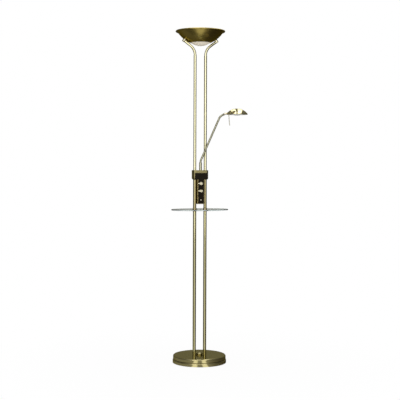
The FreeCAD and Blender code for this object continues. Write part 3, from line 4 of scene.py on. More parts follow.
import bpy
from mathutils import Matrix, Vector


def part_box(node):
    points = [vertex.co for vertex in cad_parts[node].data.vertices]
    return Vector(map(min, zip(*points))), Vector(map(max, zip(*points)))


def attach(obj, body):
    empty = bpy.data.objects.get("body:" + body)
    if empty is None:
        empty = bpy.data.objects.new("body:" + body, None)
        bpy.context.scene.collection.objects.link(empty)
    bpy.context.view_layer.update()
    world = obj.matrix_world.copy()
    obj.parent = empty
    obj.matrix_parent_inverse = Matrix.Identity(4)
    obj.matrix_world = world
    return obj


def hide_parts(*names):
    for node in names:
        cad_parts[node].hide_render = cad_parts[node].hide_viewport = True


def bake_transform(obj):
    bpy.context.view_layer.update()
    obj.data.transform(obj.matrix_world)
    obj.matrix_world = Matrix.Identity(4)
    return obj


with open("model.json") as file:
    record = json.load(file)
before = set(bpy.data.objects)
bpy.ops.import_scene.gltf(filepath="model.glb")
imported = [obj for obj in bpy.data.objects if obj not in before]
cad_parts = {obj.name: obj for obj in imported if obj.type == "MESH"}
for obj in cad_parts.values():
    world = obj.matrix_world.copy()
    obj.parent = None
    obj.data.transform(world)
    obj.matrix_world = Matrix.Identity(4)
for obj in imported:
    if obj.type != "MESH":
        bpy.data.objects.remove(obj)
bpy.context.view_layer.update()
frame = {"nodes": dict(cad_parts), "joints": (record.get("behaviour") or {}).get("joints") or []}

nodes = frame["nodes"]
joints = {joint["name"]: joint for joint in frame["joints"]}
scene = bpy.context.scene
scene.view_settings.view_transform = "Standard"


# ---------------------------------------------------------------------------
# Camera
# The lamp is seen from a little left of its front, from chest height, through
# a long lens that looks slightly down and keeps both poles nearly parallel.
# ---------------------------------------------------------------------------
view_azimuth = math.radians(-17)
view_distance = 5.285
eye_height = 1.086
view_pitch = math.radians(-2.165)
view_roll = math.radians(-0.2)
lens_in_widths = 974 / 400

towards_camera = Vector((math.sin(view_azimuth), -math.cos(view_azimuth), 0))
towards_right = Vector((math.cos(view_azimuth), math.sin(view_azimuth), 0))
camera_data = bpy.data.cameras.new("camera")
camera_data.sensor_width = 36
camera_data.lens = lens_in_widths * camera_data.sensor_width
camera_data.clip_end = 100
camera = bpy.data.objects.new("camera", camera_data)
camera.location = towards_camera * view_distance + Vector((0, 0, eye_height))
camera.rotation_euler = (math.pi / 2 + view_pitch, view_roll, view_azimuth)
scene.collection.objects.link(camera)
scene.camera = camera


# ---------------------------------------------------------------------------
# Studio
# A pale floor and even sky, two softboxes beside the camera and two strips
# over the reading head. Polished metal sees graded walls and floor instead of
# the white, laid out by comparing its reflections with the photograph.
# ---------------------------------------------------------------------------
class Socket:
    """A value on its way through a node tree, with which Python can calculate."""

    def __init__(self, tree, output):
        self.tree = tree
        self.output = output

    def calculate(self, operation, *values):
        inputs = dict(enumerate(values))
        return self.tree.node("ShaderNodeMath", {"operation": operation}, inputs)

    def __add__(self, other):
        return self.calculate("ADD", self, other)

    def __sub__(self, other):
        return self.calculate("SUBTRACT", self, other)

    def __rsub__(self, other):
        return self.calculate("SUBTRACT", other, self)

    def __mul__(self, other):
        return self.calculate("MULTIPLY", self, other)

    def __truediv__(self, other):
        return self.calculate("DIVIDE", self, other)

    def __pow__(self, other):
        return self.calculate("POWER", self, other)

    __radd__ = __add__
    __rmul__ = __mul__


class Tree:
    """A node tree that is written as expressions."""

    def __init__(self, owner):
        owner.use_nodes = True
        self.tree = owner.node_tree
        self.tree.nodes.clear()

    def node(self, kind, settings=None, inputs=None, output=0):
        """Add a node: its settings first, then the values or links of its sockets."""
        node = self.tree.nodes.new(kind)
        for name, value in (settings or {}).items():
            if name == "stops":
                ramp = node.color_ramp
                while len(ramp.elements) < len(value):
                    ramp.elements.new(0.5)
                for element, (position, colour) in zip(ramp.elements, value):
                    element.position = position
                    element.color = (*colour, 1)
            else:
                setattr(node, name, value)
        for name, value in (inputs or {}).items():
            socket = node.inputs[name]
            if isinstance(value, Socket):
                self.tree.links.new(value.output, socket)
            elif isinstance(value, tuple) and len(value) == 3 and socket.type == "RGBA":
                socket.default_value = (*value, 1)
            else:
                socket.default_value = value
        return Socket(self, node.outputs[output] if node.outputs else None)

    def place(self):
        """Position on the object, in metres."""
        return self.node("ShaderNodeTexCoord", output="Object")

    def parts(self, vector):
        """The x, y and z of a vector."""
        return [self.node("ShaderNodeSeparateXYZ", inputs={0: vector}, output=i) for i in range(3)]

    def join(self, x, y, z):
        return self.node("ShaderNodeCombineXYZ", inputs={0: x, 1: y, 2: z})

    def stretched(self, vector, factors):
        """A vector times three factors."""
        inputs = {0: vector, 1: factors}
        return self.node("ShaderNodeVectorMath", {"operation": "MULTIPLY"}, inputs)

    def noise(self, vector, scale, detail=2.0, roughness=0.5):
        inputs = {"Vector": vector, "Scale": scale, "Detail": detail, "Roughness": roughness}
        return self.node("ShaderNodeTexNoise", inputs=inputs)

    def between(self, value, low, high):
        """0 below low, 1 above high."""
        inputs = {"Value": value, "From Min": low, "From Max": high}
        return self.node("ShaderNodeMapRange", inputs=inputs)

    def blend(self, factor, first, second):
        """Two colours mixed."""
        inputs = {0: factor, 6: first, 7: second}
        return self.node("ShaderNodeMix", {"data_type": "RGBA"}, inputs, output=2)

    def bump(self, height, distance):
        return self.node("ShaderNodeBump", inputs={"Height": height, "Distance": distance})


sky_level = (0.60, 0.60, 0.60)
shown_white = (1.0, 1.0, 1.0)
front_stops = [(0.0, (0.12, 0.12, 0.11)), (0.14, (0.24, 0.24, 0.22)), (0.25, (0.80, 0.80, 0.76)),
               (0.50, (0.95, 0.95, 0.92)), (0.70, (0.75, 0.75, 0.71)), (0.78, (0.45, 0.45, 0.41)),
               (0.86, (0.30, 0.30, 0.26)), (1.0, (0.12, 0.12, 0.10))]
back_stops = [(0.0, (0.14, 0.14, 0.12)), (0.22, (0.25, 0.25, 0.22)), (0.5, (0.34, 0.34, 0.30)),
              (0.75, (0.26, 0.26, 0.23)), (1.0, (0.06, 0.06, 0.05))]

studio = bpy.data.worlds.new("studio")
scene.world = studio
sky = Tree(studio)
direction = sky.node("ShaderNodeTexCoord", output="Generated")
dot = {"operation": "DOT_PRODUCT"}
sideways = sky.node("ShaderNodeVectorMath", dot, {0: direction, 1: tuple(towards_right)}, "Value")
to_the_right = sideways * 0.5 + 0.5
frontward = sky.node("ShaderNodeVectorMath", dot, {0: direction, 1: tuple(towards_camera)}, "Value")
front_wall = sky.node("ShaderNodeValToRGB", {"stops": front_stops}, {0: to_the_right})
back_wall = sky.node("ShaderNodeValToRGB", {"stops": back_stops}, {0: to_the_right})
walls = sky.blend(sky.between(frontward, -0.15, 0.15), back_wall, front_wall)
seen_in_mirror = sky.node("ShaderNodeLightPath", output="Is Glossy Ray")
seen_by_camera = sky.node("ShaderNodeLightPath", output="Is Camera Ray")
seen_through_glass = sky.node("ShaderNodeLightPath", output="Is Transmission Ray")
sky_light = sky.blend(seen_in_mirror, sky_level, walls)
open_view = seen_by_camera.calculate("MAXIMUM", seen_by_camera, seen_through_glass)
sky_shown = sky.blend(open_view, sky_light, shown_white)
background = sky.node("ShaderNodeBackground", inputs={"Color": sky_shown, "Strength": 1.0})
sky.node("ShaderNodeOutputWorld", inputs={"Surface": background})

floor_stops = [(0.0, (0.12, 0.12, 0.09)), (0.15, (0.16, 0.16, 0.12)), (0.24, (0.50, 0.50, 0.43)),
               (0.30, (1.25, 1.23, 1.10)), (0.36, (1.25, 1.23, 1.10)), (0.50, (1.05, 1.04, 0.93)),
               (0.62, (1.20, 1.18, 1.05)), (0.70, (1.10, 1.08, 0.96)), (0.78, (0.55, 0.53, 0.45)),
               (0.86, (0.18, 0.17, 0.13)), (1.0, (0.07, 0.06, 0.045))]
# Two streaks brighter than white. Only polished metal sees them, above all the base's wall.
near_stops = [(0.0, (0.36, 0.36, 0.30)), (0.33, (0.48, 0.47, 0.39)), (0.36, (1.8, 1.8, 1.65)),
              (0.44, (1.8, 1.8, 1.65)), (0.47, (0.50, 0.50, 0.44)), (0.56, (0.50, 0.49, 0.43)),
              (0.59, (1.8, 1.8, 1.65)), (0.67, (1.8, 1.8, 1.65)), (0.70, (0.44, 0.43, 0.35)),
              (0.86, (0.24, 0.23, 0.18)), (1.0, (0.12, 0.11, 0.08))]
near_reach = 0.35
far_reach = 0.6
shadow_near = 0.2
shadow_far = 1.2
shadow_share = 0.05

bpy.ops.object.select_all(action="DESELECT")
bpy.ops.mesh.primitive_plane_add(size=24, location=(0, 0, -0.0004))
floor = bpy.context.object
floor.name = "floor"
paper = bpy.data.materials.new("studio_paper")
sheet = Tree(paper)
x, y, z = sheet.parts(sheet.place())
distance = (x * x + y * y) ** 0.5 + 0.001
floor_side = (x * towards_right.x + y * towards_right.y) / distance * 0.5 + 0.5
floor_front = (x * towards_camera.x + y * towards_camera.y) / distance
front_floor = sheet.node("ShaderNodeValToRGB", {"stops": floor_stops}, {0: floor_side})
back_floor = sheet.blend(floor_side, (0.24, 0.23, 0.18), (0.06, 0.05, 0.035))
far_floor = sheet.blend(sheet.between(floor_front, -0.2, 0.2), back_floor, front_floor)
near_floor = sheet.node("ShaderNodeValToRGB", {"stops": near_stops}, {0: floor_side})
mirror_floor = sheet.blend(sheet.between(distance, near_reach, far_reach), near_floor, far_floor)
matt = sheet.node("ShaderNodeBsdfDiffuse", inputs={"Color": (0.8, 0.8, 0.8)})
white = sheet.node("ShaderNodeEmission", inputs={"Color": shown_white})
mirrored = sheet.node("ShaderNodeEmission", inputs={"Color": mirror_floor})
fade = (1 - shadow_share) + sheet.between(distance, shadow_near, shadow_far) * shadow_share
camera_share = sheet.node("ShaderNodeLightPath", output="Is Camera Ray") * fade
plain = sheet.node("ShaderNodeMixShader", inputs={0: camera_share, 1: matt, 2: white})
glossy_share = sheet.node("ShaderNodeLightPath", output="Is Glossy Ray")
shown = sheet.node("ShaderNodeMixShader", inputs={0: glossy_share, 1: plain, 2: mirrored})
sheet.node("ShaderNodeOutputMaterial", inputs={"Surface": shown})
floor.data.materials.append(paper)


def lamp(name, width, length, place, aim, energy, colour):
    """A softbox that only shows in what it lights."""
    lamp_data = bpy.data.lights.new(name, "AREA")
    lamp_data.shape = "RECTANGLE"
    lamp_data.size = width
    lamp_data.size_y = length
    lamp_data.energy = energy
    lamp_data.color = colour
    softbox = bpy.data.objects.new(name, lamp_data)
    softbox.location = place
    softbox.rotation_euler = (aim - place).to_track_quat("-Z", "Y").to_euler()
    softbox.visible_camera = False
    scene.collection.objects.link(softbox)
    return softbox


softbox_distance = 3.5
softbox_height = 1.7
softbox_aim = Vector((0, 0, 0.9))
for name, offset in (("left_softbox", -21), ("right_softbox", 22)):
    azimuth = view_azimuth + math.radians(offset)
    across = softbox_distance * math.sin(azimuth)
    forward = -softbox_distance * math.cos(azimuth)
    lamp(name, 1.3, 2.6, Vector((across, forward, softbox_height)), softbox_aim, 20, (1.0, 0.98, 0.94))

strip_height = 2.35
strip_behind = 1.0
head_low, head_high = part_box("reading_shade")
above_head = Vector((head_low.x + head_high.x, head_low.y + head_high.y, 0)) / 2
above_head += Vector((0, 0, strip_height))
for name, offset in (("left_strip", -0.29), ("right_strip", 0.29)):
    place = above_head + towards_right * offset - towards_camera * strip_behind
    strip = lamp(name, 0.40, 2.6, place, place - Vector((0, 0, 1)), 10, (0.95, 0.97, 1.0))
    strip.rotation_euler = (0, 0, view_azimuth)


# ---------------------------------------------------------------------------
# Base
# A spun two-tier brass cover over a cast weight and a steel plate, on a felt
# pad. A small domed boss closes the hole between the feet of the poles.
# ---------------------------------------------------------------------------
def dress(material, *names):
    """Give CAD nodes a material."""
    for name in names:
        for slot in nodes[name].material_slots:
            slot.material = material


def surface(tree, material, inputs):
    """Close a material with its shader."""
    shader = tree.node("ShaderNodeBsdfPrincipled", inputs=inputs)
    tree.node("ShaderNodeOutputMaterial", inputs={"Surface": shader})
    return material


# Some pieces pass paler or darker tones of this one plating; those tones are painted light and painted shade,
# marked where the piece is dressed.
def brass(name, lines, light=(0.44, 0.36, 0.18), dark=(0.39, 0.315, 0.145), gloss=0.08, specks=0.2,
          grazing=(0.62, 0.55, 0.33), coat=0.08):
    """Lacquered brass with polishing lines; each piece's tones are fitted to the photograph."""
    material = bpy.data.materials.new(name)
    tree = Tree(material)
    place = tree.place()
    polish = tree.noise(lines(tree, place), 1.0, 3.0, 0.6)
    toning = tree.noise(place, 14.0, 4.0, 0.55)
    pits = tree.between(tree.noise(place, 700.0, 1.0), 0.72, 0.80)
    tone = tree.blend(tree.between(toning, 0.32, 0.68), dark, light)
    pit_colour = (0.14, 0.10, 0.045)
    return surface(tree, material, {
        "Base Color": tree.blend(pits * specks, tone, pit_colour),
        "Metallic": 1.0,
        "Roughness": gloss + polish * 0.04 + toning * 0.03 + pits * 0.1,
        "Specular Tint": grazing,
        "Coat Weight": coat,
        "Coat Roughness": 0.05,
        "Normal": tree.bump(polish, 0.00001),
    })


def about(centre, pitch=0.0006):
    """Polishing lines in circles about an upright axis."""
    def lines(tree, place):
        x, y, z = tree.parts(place)
        across = x - centre[0]
        along = y - centre[1]
        radius = (across * across + along * along) ** 0.5
        return tree.join(radius / pitch, z / pitch, 0.0)
    return lines


def running(x, y, z):
    """Polishing lines, so many to a metre each way."""
    def lines(tree, place):
        return tree.stretched(place, (x, y, z))
    return lines


base_centre = (0.0, 0.0)
dress(brass("spun_brass", about(base_centre), light=(0.42, 0.37, 0.20), dark=(0.37, 0.325, 0.165),
            gloss=0.11, grazing=(0.56, 0.52, 0.34)), "base_cover", "centre_boss")


def plain_metal(name, colour, roughness):
    """Plated or drawn metal with a fine matt crystal."""
    material = bpy.data.materials.new(name)
    tree = Tree(material)
    place = tree.place()
    crystal = tree.noise(place, 1600.0, 2.0)
    cloud = tree.noise(place, 40.0, 3.0)
    tone = tree.blend(tree.between(cloud, 0.3, 0.7), colour, tuple(0.8 * c for c in colour))
    return surface(tree, material, {
        "Base Color": tone,
        "Metallic": 1.0,
        "Roughness": roughness + crystal * 0.15,
        "Normal": tree.bump(crystal, 0.00002),
    })


steel = plain_metal("zinc_plated_steel", (0.55, 0.55, 0.53), 0.32)
dress(steel, "base_plate", "foot_plugs", "foot_nipples", "foot_washers", "foot_nuts")


def rough_solid(name, light, dark, scale, depth, roughness, shine=0.5):
    """A dull material with grain, such as felt, casting, ceramic or moulded plastic."""
    material = bpy.data.materials.new(name)
    tree = Tree(material)
    place = tree.place()
    grain = tree.noise(place, scale, 4.0, 0.65)
    cloud = tree.noise(place, 30.0, 3.0)
    tone = tree.blend(tree.between(grain * 0.7 + cloud * 0.3, 0.35, 0.65), dark, light)
    return surface(tree, material, {
        "Base Color": tone,
        "Roughness": roughness + grain * 0.12,
        "Specular IOR Level": shine,
        "Normal": tree.bump(grain, depth),
    })


dress(rough_solid("pressed_felt", (0.10, 0.09, 0.08), (0.04, 0.035, 0.03), 900.0, 0.0004, 0.82), "base_felt")
dress(rough_solid("cast_iron", (0.16, 0.15, 0.14), (0.08, 0.08, 0.08), 500.0, 0.0003, 0.6), "base_weight")
dress(rough_solid("moulded_bush", (0.045, 0.042, 0.04), (0.03, 0.03, 0.03), 1500.0, 0.00005, 0.42),
      "cable_bush")


# ---------------------------------------------------------------------------
# Poles
# Drawn brass-plated tubes in sections, with fine polishing lines along them.
# They probably share one plating; the three tones here are fitted to how dark
# each section looks in the photograph.
# ---------------------------------------------------------------------------
along_tube = running(2600, 2600, 40)
# The three tube tones are painted light and shade: the pale tone on the upper tubes and swan necks is a lit
# copy of one plating, the dark middle tone a shaded copy.
dress(brass("lower_tube_brass", along_tube, light=(0.48, 0.45, 0.265), dark=(0.44, 0.41, 0.24), specks=0.05,
            coat=0.15), "left_lower_tube", "right_lower_tube")
dress(brass("middle_tube_brass", along_tube, light=(0.33, 0.29, 0.155), dark=(0.30, 0.26, 0.135), specks=0.05,
            coat=0.15), "left_middle_tube", "right_middle_tube")
dress(brass("upper_tube_brass", along_tube, light=(0.70, 0.67, 0.46), dark=(0.65, 0.62, 0.42), specks=0.03,
            coat=0.15), "left_upper_tube", "right_upper_tube", "left_swan_neck", "right_swan_neck")


# ---------------------------------------------------------------------------
# Shelf
# Clear float glass with a ground and polished edge, between turned brass
# collars on soft clear washers; hollow threaded nipples join the tubes.
# ---------------------------------------------------------------------------
def glass(name, tint, roughness, ior=1.52):
    """Clear glass, with faint waves."""
    material = bpy.data.materials.new(name)
    tree = Tree(material)
    place = tree.place()
    wave = tree.noise(place, 25.0, 1.0)
    smear = tree.noise(place, 60.0, 4.0)
    return surface(tree, material, {
        "Base Color": tree.blend(tree.between(wave, 0.3, 0.7), tint, tuple(0.97 * c for c in tint)),
        "Roughness": roughness + smear * 0.02,
        "Transmission Weight": 1.0,
        "IOR": ior,
        "Normal": tree.bump(wave * 0.2, 0.00004),
    })


dress(glass("float_glass", (0.64, 0.72, 0.71), 0.0), "glass_shelf")
dress(glass("clear_vinyl", (0.88, 0.88, 0.84), 0.25, 1.45), "shelf_washers")
dress(brass("collar_brass", about(base_centre, 0.0004)), "shelf_lower_collars", "shelf_upper_collars")
dress(steel, "shelf_nipples")


# ---------------------------------------------------------------------------
# Junction block
# A die-cast brass-plated block and lid clamp the tubes; both are brushed
# across the front and then lacquered.
# ---------------------------------------------------------------------------
# The dark tone of the block and lid is painted shade on the brushed brass.
dress(brass("brushed_block", running(30, 1800, 1800), light=(0.27, 0.235, 0.12),
            dark=(0.235, 0.205, 0.10), gloss=0.30), "junction_block", "junction_lid")
dress(steel, "tube_set_screws", "arm_nut")


# ---------------------------------------------------------------------------
# Control housing
# A folded brass housing between the poles carries a black-brown panel with
# two dimmers. Each dimmer has a turned knob with a pointer.
# ---------------------------------------------------------------------------
dress(brass("housing_brass", running(1500, 1500, 40), gloss=0.12), "control_housing")
dress(rough_solid("panel_enamel", (0.014, 0.010, 0.005), (0.010, 0.007, 0.004), 2200.0, 0.00003, 0.42,
                  shine=0.07),
      "control_fascia")
# The knobs' pale tone is a painted highlight on the brass.
dress(brass("knob_brass", running(1500, 1500, 1500), light=(0.80, 0.76, 0.62), dark=(0.74, 0.70, 0.56),
            gloss=0.10), "uplight_knob", "reading_knob")
bright = plain_metal("bright_screw", (0.62, 0.57, 0.48), 0.14)
dress(bright, "tilt_pin")


def close_spin():
    """In edit mode, weld the seam of a spun mesh and turn its faces outwards; leaves edit mode."""
    bpy.ops.mesh.select_all(action="SELECT")
    bpy.ops.mesh.remove_doubles(threshold=0.000002)
    bpy.ops.mesh.normals_make_consistent(inside=False)
    bpy.ops.object.mode_set(mode="OBJECT")


def crossed_screw(name, head_top, radius, dome, shank_radius, length):
    """A dome-headed screw that points backwards, its head pressed with a cross."""
    round_steps = 8
    bpy.ops.object.select_all(action="DESELECT")
    bpy.ops.mesh.primitive_circle_add(vertices=40, radius=shank_radius, location=head_top, fill_type="NGON",
                                      rotation=(math.pi / 2, 0, 0))
    screw = bpy.context.object
    screw.name = name
    bpy.ops.object.transform_apply(location=True, rotation=True, scale=True)
    bpy.ops.object.mode_set(mode="EDIT")
    bpy.ops.mesh.select_all(action="SELECT")
    bpy.ops.transform.translate(value=(0, length, 0))
    here = shank_radius
    profile = [(shank_radius, 0.0), (radius, 0.0)]
    for step in range(1, round_steps + 1):
        turn = math.radians(90) * step / round_steps
        profile.append((max(radius * math.cos(turn), 0.0001), dome * math.sin(turn)))
    reached = dome - length
    for wide, high in profile:
        bpy.ops.mesh.extrude_region_move(TRANSFORM_OT_translate={"value": (0, -(high - reached), 0)})
        bpy.ops.transform.resize(value=(wide / here, 1, wide / here))
        here = wide
        reached = high
    close_spin()
    for turn in (0, math.pi / 2):
        bpy.ops.object.select_all(action="DESELECT")
        bpy.ops.mesh.primitive_cube_add(size=1, location=head_top, rotation=(0, turn, 0))
        blade = bpy.context.object
        blade.scale = (radius * 1.1, dome * 1.3, radius * 0.26)
        bpy.ops.object.transform_apply(location=True, rotation=True, scale=True)
        recess = screw.modifiers.new("recess", "BOOLEAN")
        recess.object = blade
        recess.solver = "EXACT"
        bpy.context.view_layer.objects.active = screw
        bpy.ops.object.modifier_apply(modifier="recess")
        bpy.data.objects.remove(blade)
    bpy.ops.object.select_all(action="DESELECT")
    screw.select_set(True)
    bpy.context.view_layer.objects.active = screw
    bpy.ops.object.shade_smooth_by_angle(angle=math.radians(35))
    screw.data.materials.append(bright)
    return screw


screw_low, screw_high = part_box("fascia_screw")
screw_radius = (screw_high.x - screw_low.x) / 2
screw_centre = (screw_low + screw_high) / 2
screw_top = Vector((screw_centre.x, screw_low.y, screw_centre.z))
screw_shank = 0.0019
panel_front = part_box("control_fascia")[0].y
fascia_screw = crossed_screw("fascia_screw_crossed", screw_top, screw_radius, panel_front - screw_low.y,
                             screw_shank, screw_high.y - screw_low.y)
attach(fascia_screw, "stand")
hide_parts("fascia_screw")
dress(steel, "uplight_shaft", "reading_shaft")
dress(rough_solid("dimmer_case", (0.06, 0.06, 0.065), (0.04, 0.04, 0.045), 1200.0, 0.00003, 0.45),
      "uplight_dimmer", "reading_dimmer")
dress(rough_solid("circuit_board", (0.03, 0.14, 0.06), (0.02, 0.09, 0.04), 800.0, 0.00003, 0.4),
      "dimmer_board")


# ---------------------------------------------------------------------------
# Bowl
# Spun from brass sheet with a rolled rim, then polished to a soft shine. A
# frosted glass dish hangs through its bottom; the lamp sits on a bracket.
# ---------------------------------------------------------------------------
# The bowl's dark olive tone is painted shade on the spun brass.
dress(brass("bowl_brass", about(base_centre, 0.0008), light=(0.35, 0.275, 0.085), dark=(0.32, 0.25, 0.072),
            gloss=0.25, specks=0.05, grazing=(0.50, 0.43, 0.21)), "uplight_bowl")
# The knuckles' pale tone is a painted highlight.
dress(brass("knuckle_brass", about(base_centre, 0.0004), light=(0.66, 0.62, 0.48), dark=(0.58, 0.54, 0.40)),
      "left_bowl_knuckle", "right_bowl_knuckle")


def frosted(name, tint, clearness):
    """Etched glass: milky, with a fine even grain."""
    material = bpy.data.materials.new(name)
    tree = Tree(material)
    place = tree.place()
    etch = tree.noise(place, 3000.0, 2.0)
    cloud = tree.noise(place, 35.0, 3.0)
    return surface(tree, material, {
        "Base Color": tree.blend(tree.between(cloud, 0.3, 0.7), tint, tuple(0.96 * c for c in tint)),
        "Roughness": 0.42 + etch * 0.12,
        "Transmission Weight": clearness,
        "IOR": 1.5,
        "Normal": tree.bump(etch, 0.00004),
    })


dress(frosted("etched_glass", (0.98, 0.89, 0.74), 0.06), "glass_dish")
dress(frosted("etched_lens", (0.99, 0.99, 0.97), 0.25), "reading_lens")
dress(glass("quartz", (0.95, 0.95, 0.94), 0.02, 1.46), "halogen_lamp", "capsule_lamp")
dress(glass("guard_glass", (0.88, 0.93, 0.91), 0.0), "guard_glass")


tungsten = plain_metal("tungsten", (0.50, 0.48, 0.45), 0.3)


def filament(name, radius, length, turns):
    """A coil of tungsten wire along Z that starts at the origin."""
    wire = 0.00016
    bpy.ops.object.select_all(action="DESELECT")
    bpy.ops.mesh.primitive_circle_add(vertices=6, radius=wire, location=(radius, 0, 0),
                                      rotation=(math.pi / 2, 0, 0))
    coil = bpy.context.object
    coil.name = name
    bpy.ops.object.transform_apply(location=True, rotation=True, scale=True)
    winding = coil.modifiers.new("winding", "SCREW")
    winding.axis = "Z"
    winding.screw_offset = length / turns
    winding.iterations = turns
    winding.steps = 12
    winding.render_steps = 12
    bpy.ops.object.modifier_apply(modifier="winding")
    bpy.ops.object.mode_set(mode="EDIT")
    close_spin()
    bpy.ops.object.shade_smooth()
    coil.data.materials.append(tungsten)
    return coil


def place_filament(coil, start):
    """Lay a coil along X, with its first end at a place."""
    coil.rotation_euler = (0, math.pi / 2, 0)
    coil.location = start
    bpy.ops.object.select_all(action="DESELECT")
    coil.select_set(True)
    bpy.context.view_layer.objects.active = coil
    bpy.ops.object.transform_apply(location=True, rotation=True, scale=True)


tube_low, tube_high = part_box("halogen_lamp")
filament_length = 0.078
lamp_filament = filament("lamp_filament", 0.0009, filament_length, 60)
place_filament(lamp_filament, (tube_low + tube_high) / 2 - Vector((filament_length / 2, 0, 0)))
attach(lamp_filament, "stand")
dress(steel, "dish_ring", "lamp_bracket", "bowl_bolts")
dress(rough_solid("steatite", (0.80, 0.78, 0.71), (0.70, 0.67, 0.60), 700.0, 0.00004, 0.38),
      "lampholders", "head_lampholder")


# ---------------------------------------------------------------------------
# Flexible tube of the reading arm
# A wound brass tube that stays where it is bent. It stands in a turned
# sleeve on the block, leans outwards, and curves over to the fork.
# ---------------------------------------------------------------------------
dress(brass("sleeve_brass", about((0.0, -0.01), 0.0004), light=(0.42, 0.41, 0.30), dark=(0.38, 0.37, 0.26)),
      "arm_sleeve")

tube_radius = 0.0055
groove_depth = 0.0005
rib_pitch = 0.0026
foot_bend_radius = 0.038
top_bend_radius = 0.035
top_bend_turn = math.radians(40)
fork_run = 0.004
fork_reach = 0.015

lower_ball = Vector(joints["lower_bend"]["pos_m"])
upper_ball = Vector(joints["upper_bend"]["pos_m"])
tilt_centre = Vector(joints["head_tilt"]["pos_m"])
upward = Vector((0, 0, 1))
leaning = (upper_ball - lower_ball).normalized()
outward = Vector((leaning.x, leaning.y, 0)).normalized()
lean = leaning.angle(upward)
end_lean = lean + top_bend_turn
ending = outward * math.sin(end_lean) + upward * math.cos(end_lean)

tube_end = tilt_centre - ending * fork_reach
top_bend_end = tube_end - ending * fork_run
half_chord = top_bend_radius * math.tan(top_bend_turn / 2)
top_bend_start = top_bend_end - ending * half_chord - leaning * half_chord
foot_tangent = foot_bend_radius * math.tan(lean / 2)
foot_bend_start = lower_ball - upward * foot_tangent
foot_bend_end = lower_ball + leaning * foot_tangent
tube_start = Vector((lower_ball.x, lower_ball.y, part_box("gooseneck_lower")[0].z))

route_data = bpy.data.curves.new("tube_route", "CURVE")
route_data.dimensions = "3D"
spline = route_data.splines.new("BEZIER")
spline.resolution_u = 32
foot_handle = 4 / 3 * math.tan(lean / 4) * foot_bend_radius
top_handle = 4 / 3 * math.tan(top_bend_turn / 4) * top_bend_radius
straight = 0.004
stations = [
    (tube_start, upward, straight, straight),
    (foot_bend_start, upward, straight, foot_handle),
    (foot_bend_end, leaning, foot_handle, straight),
    (top_bend_start, leaning, straight, top_handle),
    (top_bend_end, ending, top_handle, straight),
    (tube_end, ending, straight, straight),
]
spline.bezier_points.add(len(stations) - 1)
for point, (spot, heading, before, after) in zip(spline.bezier_points, stations):
    point.co = spot
    point.handle_left = spot - heading * before
    point.handle_right = spot + heading * after
route = bpy.data.objects.new("tube_route", route_data)
scene.collection.objects.link(route)
route_length = spline.calc_length()
rib_count = round(route_length / rib_pitch)
rib_pitch = route_length / rib_count
crown = tube_radius * 1.01
groove = tube_radius - groove_depth
rib_profile = ((0.14, tube_radius), (0.24, crown), (0.24, tube_radius), (0.14, groove), (0.24, groove))


def wound_tube(name, first, last):
    """Ribs number first to last of the flexible tube, laid along its route."""
    bpy.ops.object.select_all(action="DESELECT")
    bpy.ops.mesh.primitive_circle_add(vertices=28, radius=groove)
    tube = bpy.context.object
    tube.name = name
    bpy.ops.object.mode_set(mode="EDIT")
    bpy.ops.mesh.select_all(action="SELECT")
    here = groove
    for share, radius in rib_profile:
        rise = share * rib_pitch
        bpy.ops.mesh.extrude_region_move(TRANSFORM_OT_translate={"value": (0, 0, rise)})
        factor = radius / here
        bpy.ops.transform.resize(value=(factor, factor, 1))
        here = radius
    bpy.ops.object.mode_set(mode="OBJECT")
    winding = tube.modifiers.new("winding", "ARRAY")
    winding.use_relative_offset = False
    winding.use_constant_offset = True
    winding.constant_offset_displace = (0, 0, rib_pitch)
    winding.count = last - first
    winding.use_merge_vertices = True
    winding.merge_threshold = 0.00002
    bpy.ops.object.modifier_apply(modifier="winding")
    bpy.ops.object.mode_set(mode="EDIT")
    bpy.ops.mesh.select_all(action="SELECT")
    bpy.ops.transform.translate(value=(0, 0, first * rib_pitch))
    bpy.ops.object.mode_set(mode="OBJECT")
    follow = tube.modifiers.new("route", "CURVE")
    follow.object = route
    follow.deform_axis = "POS_Z"
    bpy.ops.object.modifier_apply(modifier="route")
    bpy.ops.object.mode_set(mode="EDIT")
    bpy.ops.mesh.select_all(action="SELECT")
    bpy.ops.mesh.normals_make_consistent(inside=False)
    bpy.ops.object.mode_set(mode="OBJECT")
    bpy.ops.object.shade_smooth_by_angle(angle=math.radians(50))
    return tube


middle_rib = rib_count * 2 // 5
tube_foot = wound_tube("flexible_tube_foot", 0, middle_rib)
tube_top = wound_tube("flexible_tube_top", middle_rib, rib_count)
bpy.data.objects.remove(route)

tube_finish = brass("wound_brass", running(900, 900, 900), light=(0.50, 0.49, 0.38), dark=(0.44, 0.43, 0.32),
                    gloss=0.30)
for tube in (tube_foot, tube_top):
    tube.data.materials.append(tube_finish)
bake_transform(tube_foot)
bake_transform(tube_top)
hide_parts("gooseneck_lower")
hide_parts("gooseneck_middle", "gooseneck_upper")
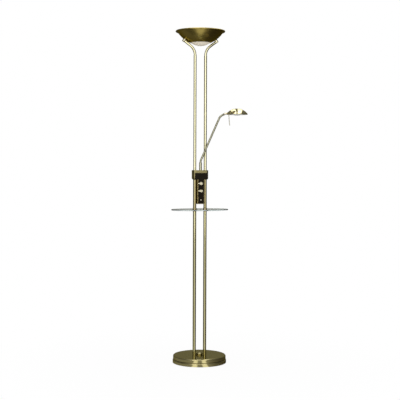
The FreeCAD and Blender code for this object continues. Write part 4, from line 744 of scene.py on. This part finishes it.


# ---------------------------------------------------------------------------
# Reading head
# A spun brass shade tilts on a pin between the cheeks of a milled fork. A
# flat ring carries the etched lens, and a slim rod is there to aim it by.
# ---------------------------------------------------------------------------
# The fork's dark tone is painted shade on the same brass.
dress(brass("fork_brass", running(900, 900, 900), light=(0.17, 0.16, 0.115), dark=(0.14, 0.13, 0.09),
            gloss=0.42), "arm_fork")
ring_low, ring_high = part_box("lens_ring")
head_centre = ((ring_low.x + ring_high.x) / 2, (ring_low.y + ring_high.y) / 2)
# The pale tone of the shade, its lens ring and its rolled edge is painted light that whitens its highlights.
shade_brass = brass("shade_brass", about(head_centre), light=(0.54, 0.49, 0.31), dark=(0.48, 0.43, 0.26),
                    gloss=0.06, coat=0.3)
dress(shade_brass, "reading_shade", "lens_ring")
dress(brass("handle_brass", running(900, 900, 900), light=(0.66, 0.64, 0.56), dark=(0.60, 0.58, 0.50),
            gloss=0.14), "aiming_handle")
dress(plain_metal("bright_reflector", (0.85, 0.85, 0.85), 0.12), "head_reflector")

edge_wire = 0.0014
edge_inset = 0.0004
edge_radius = head_high.x - head_centre[0] - edge_inset
edge_height = head_low.z + edge_wire
bpy.ops.object.select_all(action="DESELECT")
bpy.ops.mesh.primitive_circle_add(vertices=14, radius=edge_wire, rotation=(math.pi / 2, 0, 0),
                                  location=(head_centre[0] + edge_radius, head_centre[1], edge_height))
shade_edge = bpy.context.object
shade_edge.name = "shade_rolled_edge"
bpy.ops.object.transform_apply(location=True, rotation=True, scale=True)
bpy.ops.object.mode_set(mode="EDIT")
bpy.ops.mesh.select_all(action="SELECT")
bpy.ops.mesh.spin(steps=120, angle=2 * math.pi, center=(*head_centre, edge_height), axis=(0, 0, 1))
close_spin()
bpy.ops.object.shade_smooth()
shade_edge.data.materials.append(shade_brass)
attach(shade_edge, "head")

capsule_low, capsule_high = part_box("capsule_lamp")
capsule_centre = (capsule_low + capsule_high) / 2
capsule_coil = 0.0045
capsule_filament = filament("capsule_filament", 0.0006, capsule_coil, 9)
place_filament(capsule_filament, capsule_centre + Vector((-capsule_coil / 2, 0, -0.002)))
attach(capsule_filament, "head")
